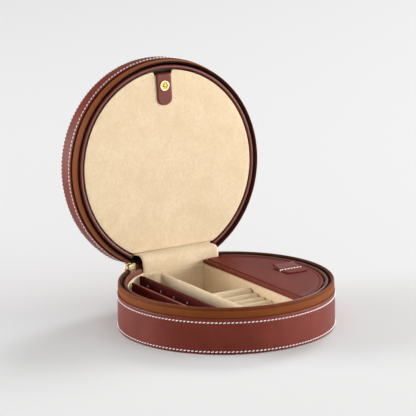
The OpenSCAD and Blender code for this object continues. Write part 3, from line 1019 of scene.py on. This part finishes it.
def ring_roll(number):
    """One foam roll in suede: full in the middle, drawn in at its closed ends, with a seam underneath."""
    node = f"ring_roll_{number}"
    a, b = span(node)
    middle = (a + b) / 2
    radius, half = (b.z - a.z) / 2, (b.x - a.x) / 2
    sides, steps, end = 40, 44, 1.7
    profile = []
    for i in range(steps + 1):
        x = half * math.sin(math.pi / 2 * (2 * i / steps - 1))
        near = max(abs(x) - (half - end), 0) / end
        profile.append((x, radius * (1 - 0.34 * (1 - math.sqrt(max(1 - near * near, 0))))))
    rows = []
    for x, r in [(-half + 0.7, 0.05), (-half + 0.25, 1.8), *profile, (half - 0.25, 1.8), (half - 0.7, 0.05)]:
        row = []
        for k in range(sides):
            angle = 2 * math.pi * k / sides
            pleat = 0.10 * math.sin(9 * angle + number) * (1 if abs(x) > half - 1.2 and r > 0.5 else 0)
            seam = 0.35 * math.exp(-((angle - 1.5 * math.pi) / 0.09) ** 2)
            reach = max(r - 0.12 - pleat - (seam if r > 2 else 0), 0.02)
            y, z = reach * math.cos(angle), reach * math.sin(angle)
            row.append((middle.x + x, middle.y + y, middle.z + z))
        rows.append(row)
    made = skin(f"padded_roll_{number}", rows, SUEDE, around=True)
    soften(made, 0.16, 9, 10 + number)
    settle(made, "base", "suede", node)


for number in range(1, 8):
    ring_roll(number)


# ---- hinge cloth and spine ----

def hinge_strip():
    """The suede that crosses from the tray's back wall to the foot of the lid panel."""
    start = Vector((0, TRAY_BACK + 0.55, TRAY_TOP - 1.2))
    fold = OPENED @ Vector((0, FOLD_Y + 1.05, PANEL_LOW.z + 1.2))
    line = bezier(start, start + Vector((0, -0.5, 14.4)), (0, 74.6, 45.9), fold, 30)
    line = [Vector((0, TRAY_BACK + 0.75, TRAY_TOP - 6)), Vector((0, TRAY_BACK + 0.6, TRAY_TOP - 3.5)), *line]
    left, right = low("hinge_strip_suede").x + 0.9, high("hinge_strip_suede").x
    thickness, across_steps = 0.8, 40
    up = np.cross((1, 0, 0), unit(np.gradient(np.array(line, float), axis=0)))
    rows = []
    faces_up = [(i / across_steps, 0.5) for i in range(across_steps + 1)]
    faces_down = [(1 - s, -0.5) for s, _ in faces_up]
    count = len(line)
    for s, side in [*faces_up, *faces_down]:
        row = []
        for k, (point, lift) in enumerate(zip(line, up)):
            t = k / (count - 1)
            flare = max(t - 0.86, 0) / 0.14
            cut = max(t - 0.72, 0) / 0.28
            x = (left - 3.0 * flare) * (1 - s) + (right - 4.6 * cut ** 1.4) * s
            edge = min(s, 1 - s) * (right - left)
            thin = thickness * (0.35 + 0.65 * min(edge / 0.8, 1))
            sag = 0.35 * math.sin(math.pi * s) * math.sin(math.pi * t) ** 2
            ripple = 0.22 * math.sin(0.21 * x + 2.0 * t) * math.sin(math.pi * t)
            row.append(Vector((x, point.y, point.z)) + Vector(lift) * (side * thin - sag + ripple))
        rows.append(row)
    made = skin("hinge_cloth", rows, SUEDE, along=True, fill_ends=True)
    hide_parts("hinge_strip_suede")
    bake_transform(made)


hinge_strip()


def spine():
    """The outer leather at the back, bent under the lid where it stands open."""
    hinge = Vector(joints["lid_hinge"]["pos_m"]) / MM
    thickness = LEATHER_T - 0.1
    back = BACK_Y + LEATHER_T / 2
    slope = math.tan(math.radians(OPEN_ANGLE - 90))
    under = lambda y: Vector((0, y, hinge.z - 0.66 - (y - hinge.y) * slope))
    fold = bezier((0, back, hinge.z - 3), (0, back, hinge.z - 0.6), (0, BACK_Y + 1.6, hinge.z - 0.5),
                  under(BACK_Y + 3.6), 12)
    rise = [Vector((0, back, z)) for z in np.linspace(16, hinge.z - 3.8, 10)]
    run = [under(y) for y in np.linspace(BACK_Y + 4.6, 103, 11)]
    line = [*rise, *fold, *run]
    width = high("spine_leather").x - low("spine_leather").x
    made = ribbon("spine", line, width, thickness, OUTER, edge=0.5, steps=36)
    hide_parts("spine_leather")
    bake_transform(made)
    on_base = lambda x, z: Vector((x, back + thickness / 2, z))
    on_lid = lambda x, y: under(y) + Vector((x, 0, -thickness / 2))
    margin = width / 2 - 2.2

    def sew(name, body, points, along):
        outward = Vector((0, 1, 0)) if body == "base" else Vector((0, -slope, -1)).normalized()
        settle(stitch_row(name, [(p, along, outward) for p in points]), body, "outer_leather")

    for side, x in (("left", -margin), ("right", margin)):
        heights = np.arange(18.5, hinge.z - 4, STITCH_PITCH)
        sew(f"spine_stitches_{side}", "base", [on_base(x, z) for z in heights], Vector((0, 0, 1)))
        ys = np.arange(BACK_Y + 10.5, 101.5, STITCH_PITCH)
        sew(f"spine_lid_stitches_{side}", "lid", [on_lid(x, y) for y in ys],
            Vector((0, 1, -slope)).normalized())
    xs = np.arange(-width / 2 + 5, width / 2 - 4, STITCH_PITCH)
    sew("spine_stitches_low", "base", [on_base(x, 18.3) for x in xs], Vector((1, 0, 0)))
    sew("spine_lid_stitches_end", "lid", [on_lid(x, 100.8) for x in xs], Vector((1, 0, 0)))


spine()


# ---- tray lid ----

FLAP_LOW, FLAP_HIGH = span("tray_lid_leather")
FLAP_R = COLLAR_IN - 1.2


def flap_outline(inset=0.0):
    """The D-shaped tray lid from above, anticlockwise, its three corners rounded."""
    left, back, radius = FLAP_LOW.x + inset, FLAP_HIGH.y - inset, FLAP_R - inset
    first = -math.acos(left / radius)
    last = math.asin(back / radius)
    arc = [first + (last - first) * i / 60 for i in range(61)]
    corners = [(radius * math.cos(a), radius * math.sin(a), 1.5 if i in (0, 60) else 0)
               for i, a in enumerate(arc)]
    return rounded([*corners, (left, back, 2.5)])


def tray_lid():
    """The tray lid's leather: plain along the centre wall, with a tucked crease inside its round edge."""
    face_levels = [*np.arange(1.3, 6.0, 0.3), *np.arange(6.5, 12, 1.6)]
    made = plate("tray_lid", flap_outline(), FLAP_LOW.z, FLAP_HIGH.z, 1.05, INNER, levels=face_levels)
    for v in made.data.vertices:
        x, y, z = v.co / MM
        if z < FLAP_HIGH.z - 0.2:
            continue
        inside = FLAP_R - math.hypot(x, y)
        fade = 1 - math.exp(-max(x - FLAP_LOW.x - 1.0, 0) / 4.0)
        crease = 0.42 * math.exp(-((inside - 3.6) / 0.55) ** 2)
        swell = 0.35 * (1 - math.exp(-max(inside - 3.6, 0) / 5.0)) * (1 - math.exp(-(x - FLAP_LOW.x) / 5.0))
        v.co.z += (swell - crease * fade - 0.1) * min(max(inside, 0), 1) * MM
    made.data.update()
    settle(made, "tray_lid", "inner_leather", "tray_lid_leather", "tray_lid_board")


tray_lid()
lining_low, lining_high = span("tray_lid_lining")
lining = plate("tray_lid_underside", flap_outline(0.5), lining_low.z, lining_high.z + 0.1, 0.35, SUEDE)
settle(lining, "tray_lid", "suede", "tray_lid_lining")

edge_low, edge_high = span("tray_lid_hinge_leather")
edge_strip = plate("tray_lid_fold", box_outline(edge_low.x, edge_high.x, edge_low.y, edge_high.y, 1.2),
                   edge_low.z, edge_high.z + 0.2, 1.45, INNER, spacing=1.2)
settle(edge_strip, "base", "inner_leather", "tray_lid_hinge_leather")


def pull_tab():
    """A leather tab sewn across its middle; its rear half stands up for the fingers."""
    a, b = span("tray_lid_pull_tab")
    top = FLAP_HIGH.z + 0.35
    line = [Vector((0, y, top + 0.5)) for y in np.linspace(a.y, -1.5, 8)]
    line += bezier((0, -1, top + 0.5), (0, 4, top + 0.5), (0, 8, top + 1.5), (0, b.y - 0.3, top + 2.6), 12)
    middle = Vector(((a.x + b.x) / 2, 0, 0))
    line = [p + middle for p in line]
    width = b.x - a.x
    widths = [width - 2.4 * max(1 - i / 2.2, 0) ** 1.5 for i in range(len(line))]
    tab = ribbon("pull_tab", line, widths, 1.1, INNER, edge=0.5)
    settle(tab, "tray_lid", "inner_leather", "tray_lid_pull_tab")
    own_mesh(tab)
    xs = np.linspace(a.x + 1.8, b.x - 1.8, 7)
    places = [(Vector((x, -1.6, top + 1.08)), Vector((1, 0, 0)), Vector((0, 0, 1))) for x in xs]
    places.append((Vector((a.x - 0.05, -1.6, top + 0.55)), Vector((0, 0, 1)), Vector((-1, 0, 0))))
    rows = stitch_row("pull_tab_stitches", places, length=2.4, slant=8)
    settle(rows, "tray_lid", "inner_leather")


pull_tab()


# ---- lid ----

LID_ROWS = (SEAM + 11.0, SEAM + 23.3)
lid_wall = wrap("lid_wall", stitched_wall(LID_WALL, LID_TOP_BOARD - 0.05, LID_ROWS), OUTER,
                wave=pucker(LID_ROWS), place=OPENED)
settle(lid_wall, "lid", "outer_leather", "lid_wall_leather")
settle(wall_stitches("lid_edge_stitches", LID_ROWS[0], behind_spine, OPENED), "lid", "outer_leather")
settle(wall_stitches("lid_top_stitches", LID_ROWS[1], place=OPENED), "lid", "outer_leather")
lid_top = plate("lid_top", case_loop(0.3), LID_TOP_BOARD, LID_TOP - 0.3, 0.58, OUTER, spacing=1.6,
                top=lambda d: 0.3 * (1 - math.exp(-d / 14)) - 0.30 * math.exp(-((d - 3.2) / 0.7) ** 2),
                levels=[*np.arange(0.8, 5.0, 0.4), 6, 8], place=OPENED)
settle(lid_top, "lid", "outer_leather", "lid_top_leather")

lining_low, lining_high = closed_box("lid_floor_suede")
lid_lining = plate("lid_lining", round_back(COLLAR_IN, lining_high.y), lining_low.z, lining_high.z, 0.3,
                   SUEDE, spacing=2.0, place=OPENED)
settle(lid_lining, "lid", "suede", "lid_floor_suede")
back_low, back_high = closed_box("lid_back_wall")
lid_back = plate("lid_back_lining", box_outline(back_low.x, back_high.x, back_low.z, back_high.z, 0.5),
                 -back_high.y, -back_low.y, 0.8, SUEDE, place=OPENED @ FACING_FRONT)
settle(soften(lid_back, 0.12, 20, 5), "lid", "suede", "lid_back_wall")


def necklace_fittings():
    """A sewn leather rail with five turned hooks, and a gathered pocket below it."""
    rail_low, rail_high = closed_box("necklace_hook_rail")
    outline = box_outline(rail_low.x, rail_high.x, rail_low.y, rail_high.y, 2.5)
    rail = plate("hook_rail", outline, rail_low.z, rail_high.z, 0.5, INNER, place=OPENED)
    settle(rail, "lid", "inner_leather", "necklace_hook_rail")
    border = even(inset_outline(even(outline, 1.0), 1.6), STITCH_PITCH)
    along = np.roll(border, -1, axis=0) - np.roll(border, 1, axis=0)
    places = [(Vector((*p, rail_low.z)), Vector((*d, 0)).normalized(), Vector((0, 0, -1)))
              for p, d in zip(border, along)]
    stitches = stitch_row("hook_rail_stitches", places, length=2.3, radius=0.3, place=OPENED)
    settle(stitches, "lid", "inner_leather")
    hooks_low, hooks_high = closed_box("necklace_hooks")
    height = hooks_high.z - hooks_low.z
    profile = [(0, 0), (2.6, 0), (2.6, 0.35), (1.5, 0.7), (1.15, 1.2), (1.1, height - 3.4),
               (1.3, height - 2.2), (2.3, height - 1.5), (2.6, height - 0.9), (2.35, height - 0.35),
               (1.2, height - 0.05), (0, height)]
    for i in range(5):
        x = (i - 2) * 15
        foot = Matrix.Translation((x, (hooks_low.y + hooks_high.y) / 2, hooks_high.z))
        turn = foot @ Matrix.Rotation(math.pi, 4, "X")
        hook = lathe(f"necklace_hook_{i + 1}", profile, BRASS, 32, OPENED @ turn)
        settle(hook, "lid", "brass", *(["necklace_hooks"] if i == 0 else []))
    pocket_low, pocket_high = closed_box("lid_pocket")
    pocket_r = 74.0
    rows, back_rows = [], []
    for j in range(31):
        v = j / 30
        y = pocket_low.y + (pocket_high.y - pocket_low.y) * v
        half = math.sqrt(max(pocket_r ** 2 - y ** 2, 0)) - 0.6
        row, back_row = [], []
        for i in range(81):
            u = 2 * i / 80 - 1
            rim = min(1 - abs(u), 1 - v) * half
            belly = (1 - math.exp(-rim / 5)) * 2.1
            gather = 0.5 * math.sin(i * 1.15 + 0.6 * math.sin(i * 0.31)) * math.exp(-v * 5) * (1 - u ** 6)
            z = pocket_high.z - 0.7 - belly - gather * 0.8
            row.append((u * half, y, z))
            back_row.append((u * half, y, z + 0.6))
        rows.append(row)
        back_rows.append(back_row)
    pocket = skin("necklace_pocket", [*rows, *back_rows[::-1]], SUEDE, along=True, fill_ends=True,
                  place=OPENED)
    settle(pocket, "lid", "suede", "lid_pocket")
    cuff = bezier((-72.2, pocket_low.y, pocket_high.z - 1.2), (-40, pocket_low.y - 0.4, pocket_high.z - 3.3),
                  (40, pocket_low.y - 0.4, pocket_high.z - 3.3),
                  (72.2, pocket_low.y, pocket_high.z - 1.2), 60)
    rows = []
    for k in range(10):
        a = 2 * math.pi * k / 10
        rows.append([p + Vector((0, 0.75 * math.cos(a), 0.55 * math.sin(a) + 0.08 * math.sin(i * 1.9)))
                     for i, p in enumerate(cuff)])
    settle(skin("pocket_cuff", rows, SUEDE, along=True, fill_ends=True, place=OPENED), "lid", "suede")


necklace_fittings()


# ---- lid panel and snap strap ----

PANEL_R = -PANEL_LOW.y + 0.5
NOTCH_HALF, NOTCH_Y = 8.5, -77.0


def panel_outline(inset=0.0):
    """The panel from outside, anticlockwise: round, with a straight foot and a notch for the strap."""
    radius, foot = PANEL_R - inset, FOLD_Y - inset
    notch_turn = math.asin((NOTCH_HALF + inset) / radius)
    first, last = -math.pi / 2 + notch_turn, math.asin(foot / radius)
    right = [first + (last - first) * i / 90 for i in range(91)]
    left = [math.pi - a for a in reversed(right)]
    corners = [(radius * math.cos(a), radius * math.sin(a), 0) for a in [*right, *left]]
    corners[0] = (*corners[0][:2], 2.0)
    corners[-1] = (*corners[-1][:2], 2.0)
    corners[90] = (*corners[90][:2], 1.5)
    corners[91] = (*corners[91][:2], 1.5)
    notch = [(-NOTCH_HALF - inset, NOTCH_Y + inset, 0.7), (NOTCH_HALF + inset, NOTCH_Y + inset, 0.7)]
    return rounded([*corners, *notch])


swell = lambda d: 0.35 * (1 - math.exp(-d / 10))
panel = plate("lid_panel_front", panel_outline(), PANEL_LOW.z, PANEL_LOW.z + 0.6, 0.29, SUEDE,
              underside=swell, place=OPENED)
settle(panel, "lid_panel", "suede", "panel_suede")
# The dark core gives the painted shade line round the panel's edge
core = plate("lid_panel_core", panel_outline(0.5), PANEL_LOW.z + 0.5, PANEL_HIGH.z - 0.6, 0.1, BOARD,
             pitch=8.0, place=OPENED)
settle(core, "lid_panel", "board", "panel_board")
panel_back = plate("lid_panel_back", panel_outline(1.1), PANEL_HIGH.z - 0.7, PANEL_HIGH.z, 0.3, SUEDE,
                   place=OPENED)
settle(panel_back, "lid_panel", "suede", "panel_back_suede")

STRAP_LOW, STRAP_HIGH = closed_box("snap_strap")
STRAP_T = STRAP_HIGH.z - STRAP_LOW.z
CAP_LOW, CAP_HIGH = closed_box("snap_cap")
SNAP_Y = (CAP_LOW.y + CAP_HIGH.y) / 2


def strap():
    """The snap strap: it comes through the panel's notch and lies down over the face."""
    half = STRAP_HIGH.x
    root = NOTCH_Y - 0.6
    middle = STRAP_LOW.z + STRAP_T / 2
    line = [Vector((0, root, PANEL_HIGH.z + 0.3)), Vector((0, root, PANEL_HIGH.z - 1.2))]
    line += bezier((0, root, middle + 1.6), (0, root, middle + 0.3), (0, root + 0.4, middle),
                   (0, root + 2.6, middle), 10)
    tip = STRAP_HIGH.y
    straight = tip - half * 0.9
    ys = [*np.linspace(root + 3.6, straight, 14),
          *(straight + half * 0.9 * math.sin(a) for a in np.linspace(0.12, 1.55, 16))]
    line += [Vector((0, y, middle)) for y in ys]
    widths = []
    for p in line:
        share = min(max((p.y - straight) / (half * 0.9), 0), 0.9995)
        widths.append(2 * half * (1 - share ** 2.3) ** (1 / 2.3))
    made = ribbon("strap", line, widths, STRAP_T, OUTER, edge=0.45, place=OPENED, steps=14)
    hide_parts("snap_strap", "strap_anchor")
    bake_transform(made)


strap()
# A near-black board behind the notch that the strap's fixed end is glued to: painted shadow, standing for
# the deep shade seen through the notch
shadow_seat_outline = box_outline(-NOTCH_HALF - 1.8, NOTCH_HALF + 1.8, NOTCH_Y - 3.2, NOTCH_Y + 6.4, 1.5)
shadow_seat = plate("notch_shadow_seat", shadow_seat_outline, PANEL_HIGH.z + 0.02, PANEL_HIGH.z + 0.8, 0.3, NOTCH_SHADOW, place=OPENED)
settle(shadow_seat, "lid_panel", "board")


def snap_parts():
    """The press stud: its cap and socket on the strap and its post on the panel."""
    outward = OPENED @ Matrix.Translation((0, SNAP_Y, CAP_HIGH.z)) @ Matrix.Rotation(math.pi, 4, "X")
    cap_r = (CAP_HIGH.x - CAP_LOW.x) / 2 - 0.25
    rim = [(2.45, 0.30), (2.6, 0.55), (2.95, 0.84), (3.4, 0.97), (3.9, 0.97), (4.35, 0.80),
           (cap_r - 0.05, 0.42), (cap_r, 0.2), (cap_r - 0.15, 0.03), (2.4, 0.0)]
    settle(turned_ring("snap_button", rim, CAP_BRASS, 64, outward), "snap_strap", "brass", "snap_cap")
    # The recessed dish takes the darker brass: painted shade inside it
    dish = [(0, 0.52), (0.55, 0.50), (1.0, 0.36), (1.3, 0.14), (1.7, 0.06), (2.1, 0.10), (2.5, 0.34),
            (2.55, 0.1), (2.4, -0.05), (0, -0.1)]
    settle(lathe("snap_dish", dish, DISH_BRASS_SHADED, 48, outward), "snap_strap", "brass")
    socket_low, socket_high = closed_box("snap_socket")
    inward = OPENED @ Matrix.Translation((0, SNAP_Y, socket_low.z))
    height = socket_high.z - socket_low.z
    bowl = [(1.95, 0.0), (3.3, 0.0), (3.4, height * 0.5), (3.2, height * 0.95), (2.7, height),
            (2.1, height * 0.9), (1.95, height * 0.6)]
    settle(turned_ring("snap_ring", bowl, BRASS, 48, inward), "snap_strap", "brass", "snap_socket")
    stud_low, stud_high = closed_box("snap_stud")
    outward = OPENED @ Matrix.Translation((0, SNAP_Y, stud_high.z)) @ Matrix.Rotation(math.pi, 4, "X")
    tall = stud_high.z - stud_low.z
    post = [(0, 0), (2.9, 0), (3.0, 0.3), (2.8, 0.6), (2.0, 0.72), (1.35, 0.95), (1.25, tall - 0.7),
            (1.5, tall - 0.45), (1.45, tall - 0.15), (1.1, tall), (0, tall)]
    settle(lathe("snap_post", post, BRASS, 48, outward), "lid_panel", "brass", "snap_stud")


snap_parts()


# ---- zip slider and pull ----

PARKED = math.atan2(joints["zip_pull_swing"]["pos_m"][1], joints["zip_pull_swing"]["pos_m"][0])
PULL_AT = Vector(joints["zip_pull_swing"]["pos_m"]) / MM


def parked(radius, z):
    """Where the slider is: local X runs along the zip, Y up and Z outwards."""
    out = Vector((math.cos(PARKED), math.sin(PARKED), 0))
    along = Vector((0, 0, 1)).cross(out)
    turned = Matrix((along, Vector((0, 0, 1)), out)).transposed().to_4x4()
    return Matrix.Translation(out * radius + Vector((0, 0, z))) @ turned


# Turns a plate so that it stands across the zip, seen from its end
ENDWISE = Matrix(((0, 0, -1, 0), (0, 1, 0, 0), (1, 0, 0, 0), (0, 0, 0, 1)))


def sleeve(name, inner, outer, half, place):
    """A short brass tube about its own Z axis, with rounded rims."""
    bevel = (outer - inner) * 0.45
    section = soft_section(0, outer - inner, -half, half, bevel, 4)
    return turned_ring(name, [(outer - inset, z) for inset, z in section], BRASS, 32, place)


def brass_plate(name, outline, depth, edge, place, *stands_for, **options):
    """A plate of the slider, depth thick."""
    made = plate(name, outline, 0.0, depth, edge, BRASS, place=place, **options)
    settle(made, "zip_slider", "brass", *stands_for)


def slider():
    """The slider and its pull. Two plates, their edges turned in, are joined by a nose and a wedge."""
    z = SEAM + 0.3
    face_r, back_r, wedge_r = TAPE_R + 0.95, COLLAR_OUT + 0.35, COIL_R + 0.85
    body = [(-5.2, -2.3, 1.0), (-4.0, -3.6, 1.2), (0.4, -3.7, 1.6), (5.2, -3.2, 1.0), (5.2, 3.2, 1.0),
            (0.4, 3.7, 1.6), (-4.0, 3.6, 1.2), (-5.2, 2.3, 1.0)]
    brass_plate("slider_face", rounded(body), 1.0, 0.45, parked(face_r, z), "zip_slider", spacing=0.45,
                pitch=0.8, top=lambda d: 0.3 * (1 - math.exp(-d / 1.2)), levels=[0.8, 1.2, 1.7, 2.3])
    brass_plate("slider_back", rounded([(x, y * 0.97, r) for x, y, r in body]), 1.15, 0.45,
                parked(back_r, z), spacing=0.5, levels=[0.8], pitch=1.0)
    fine = {"spacing": 0.4, "pitch": 1.0}
    nose = rounded([(-2.0, 0.0, 0.15), (5.0, -0.15, 0.2), (5.0, 0.6, 0.2), (-2.0, 0.5, 0.15)])
    brass_plate("slider_nose", nose, face_r - back_r - 0.7, 0.15, parked(back_r + 0.75, z - 0.1), **fine)
    wedge = rounded([(-2.0, 0.1, 0.2), (5.0, -0.2, 0.4), (5.0, 2.7, 0.6), (-2.0, 0.9, 0.3)])
    brass_plate("slider_wedge", wedge, face_r + 0.15 - wedge_r, 0.15, parked(wedge_r, z - 0.1), **fine)
    edges = (("low", -3.55, back_r + 0.5, back_r + 1.7),
             ("top", 2.85, back_r + 0.5, back_r + 1.9),
             ("face", 2.85, face_r - 0.5, face_r + 0.4))
    for name, y, start, end in edges:
        brass_plate(f"slider_edge_{name}", box_outline(-3.9, 4.9, y, y + 0.7, 0.3), end - start, 0.2,
                    parked(start, z), **fine)
    hub = parked(PULL_AT.xy.length, PULL_AT.z)
    lug_outline = rounded([(-1.7, -1.7, 0.3), (0.3, -1.5, 1.2), (1.0, 0, 0.8), (0.3, 1.5, 1.2),
                           (-1.7, 1.7, 0.3)])
    for side, start in (("left", -2.5), ("right", 1.7)):
        lug = plate(f"slider_lug_{side}", lug_outline, -start - 0.8, -start, 0.25, BRASS, spacing=0.3,
                    pitch=1.0, place=hub @ ENDWISE)
        settle(lug, "zip_slider", "brass")
    sideways = hub @ Matrix.Rotation(math.pi / 2, 4, "Y")
    rivet = [(0, -2.75), (0.75, -2.7), (0.8, -2.5), (0.56, -2.4), (0.56, 2.4), (0.8, 2.5), (0.75, 2.7),
             (0, 2.75)]
    settle(lathe("slider_pin", rivet, BRASS, 24, sideways), "zip_slider", "brass")
    settle(sleeve("pull_eye", 0.66, 1.4, 1.35, sideways), "zip_pull", "brass")
    blade = rounded([(-1.3, -0.95, 0.3), (-1.3, -5, 1.6), (-3, -8, 2.6), (-3, -25, 2.9), (3, -25, 2.9),
                     (3, -8, 2.6), (1.3, -5, 1.6), (1.3, -0.95, 0.3)])
    pull = plate("pull_blade", blade, -0.62, 0.62, 0.5, BRASS, spacing=0.5, levels=[0.7, 0.9, 1.1, 1.4],
                 pitch=1.2, top=lambda d: -0.14 * math.exp(-((d - 1.0) / 0.25) ** 2), place=hub)
    hole = hub @ Matrix.Translation((0, -21.6, 0))
    cutter = lathe("hole", [(0, -2), (1.4, -2), (1.4, 2), (0, 2)], BRASS, 32, hole)
    settle(punch(pull, cutter), "zip_pull", "brass", "zip_pull")
    settle(sleeve("pull_hole_rim", 1.15, 1.65, 0.72, hole), "zip_pull", "brass")


slider()


# Boards stay as the frame has them: they only show as dark edges in the gaps, and their near-black colour is
# partly painted shade there
for name, board in nodes.items():
    if "board" in name and not board.hide_render:
        board.data.materials.clear()
        board.data.materials.append(BOARD)


# ---- camera ----

# The camera's bearing from the front, its height and its small roll, in degrees
CAMERA_BEARING, CAMERA_HEIGHT, CAMERA_ROLL = -31.22, 14.03, -0.81
# Its distance from the origin, and how far the picture's middle lies from it, in millimetres
CAMERA_DISTANCE, LOOK_RIGHT, LOOK_UP = 2821.3, -15.38, 96.2
FOCAL_PIXELS, PICTURE_PIXELS, SENSOR_MM = 3404.8, 416, 36.0


def place_camera():
    """A distant camera with a long lens."""
    bearing, height, roll = (math.radians(a) for a in (CAMERA_BEARING, CAMERA_HEIGHT, CAMERA_ROLL))
    back = Vector((math.sin(bearing) * math.cos(height), -math.cos(bearing) * math.cos(height),
                   math.sin(height)))
    right = Vector((math.cos(bearing), math.sin(bearing), 0))
    up = back.cross(right)
    right_rolled = right * math.cos(roll) + up * math.sin(roll)
    up_rolled = up * math.cos(roll) - right * math.sin(roll)
    camera = bpy.data.objects.new("camera", bpy.data.cameras.new("camera"))
    bpy.context.scene.collection.objects.link(camera)
    camera.data.sensor_width = SENSOR_MM
    camera.data.lens = FOCAL_PIXELS / PICTURE_PIXELS * SENSOR_MM
    camera.data.clip_end = 20
    spot = right_rolled * LOOK_RIGHT + up_rolled * LOOK_UP + back * CAMERA_DISTANCE
    turned = Matrix((right_rolled, up_rolled, back)).transposed().to_4x4()
    camera.matrix_world = Matrix.Translation(spot * MM) @ turned
    bpy.context.scene.camera = camera


place_camera()


# ---- floor and light ----

def soft_light(name, spot, target, size, power):
    """A square softbox at spot, in metres, that faces target."""
    data = bpy.data.lights.new(name, "AREA")
    data.energy = power
    data.shape = "RECTANGLE"
    data.size, data.size_y = size
    light = bpy.data.objects.new(name, data)
    light.location = spot
    light.rotation_euler = (Vector(target) - Vector(spot)).to_track_quat("-Z", "Y").to_euler()
    light.visible_camera = False
    bpy.context.scene.collection.objects.link(light)


def studio():
    """A plain pale floor, an even surround and six softboxes."""
    half, edge_faces = 6.0, 64
    mesh = bpy.data.meshes.new("floor")
    mesh.from_pydata(circle(half, 0, edge_faces), [], [range(edge_faces)])
    floor = bpy.data.objects.new("floor", mesh)
    bpy.context.scene.collection.objects.link(floor)
    material, _, shader = new_material("floor")
    shader.inputs["Base Color"].default_value = (0.70, 0.70, 0.70, 1)
    shader.inputs["Roughness"].default_value = 0.9
    shader.inputs["Specular IOR Level"].default_value = 0.1
    mesh.materials.append(material)
    world = bpy.data.worlds.new("surround")
    world.use_nodes = True
    world.node_tree.nodes["Background"].inputs["Color"].default_value = (1, 1, 1, 1)
    world.node_tree.nodes["Background"].inputs["Strength"].default_value = 0.27
    bpy.context.scene.world = world
    middle = (0, 0, 0.07)
    soft_light("top", (0.1, -0.1, 2.4), middle, (2.4, 2.4), 16)
    soft_light("key", (2.25, 1.83, 2.4), middle, (1.2, 1.2), 52)
    soft_light("front", (1.5, -2.2, 0.5), middle, (1.8, 0.9), 42)
    soft_light("front_left", (-1.0, -2.6, 1.0), middle, (1.4, 1.2), 10)
    soft_light("left", (-1.9, 1.35, 0.6), middle, (1.6, 1.1), 58)
    soft_light("right", (2.3, -0.7, 0.5), middle, (1.4, 0.9), 46)


studio()
bpy.context.scene.view_settings.view_transform = "Standard"
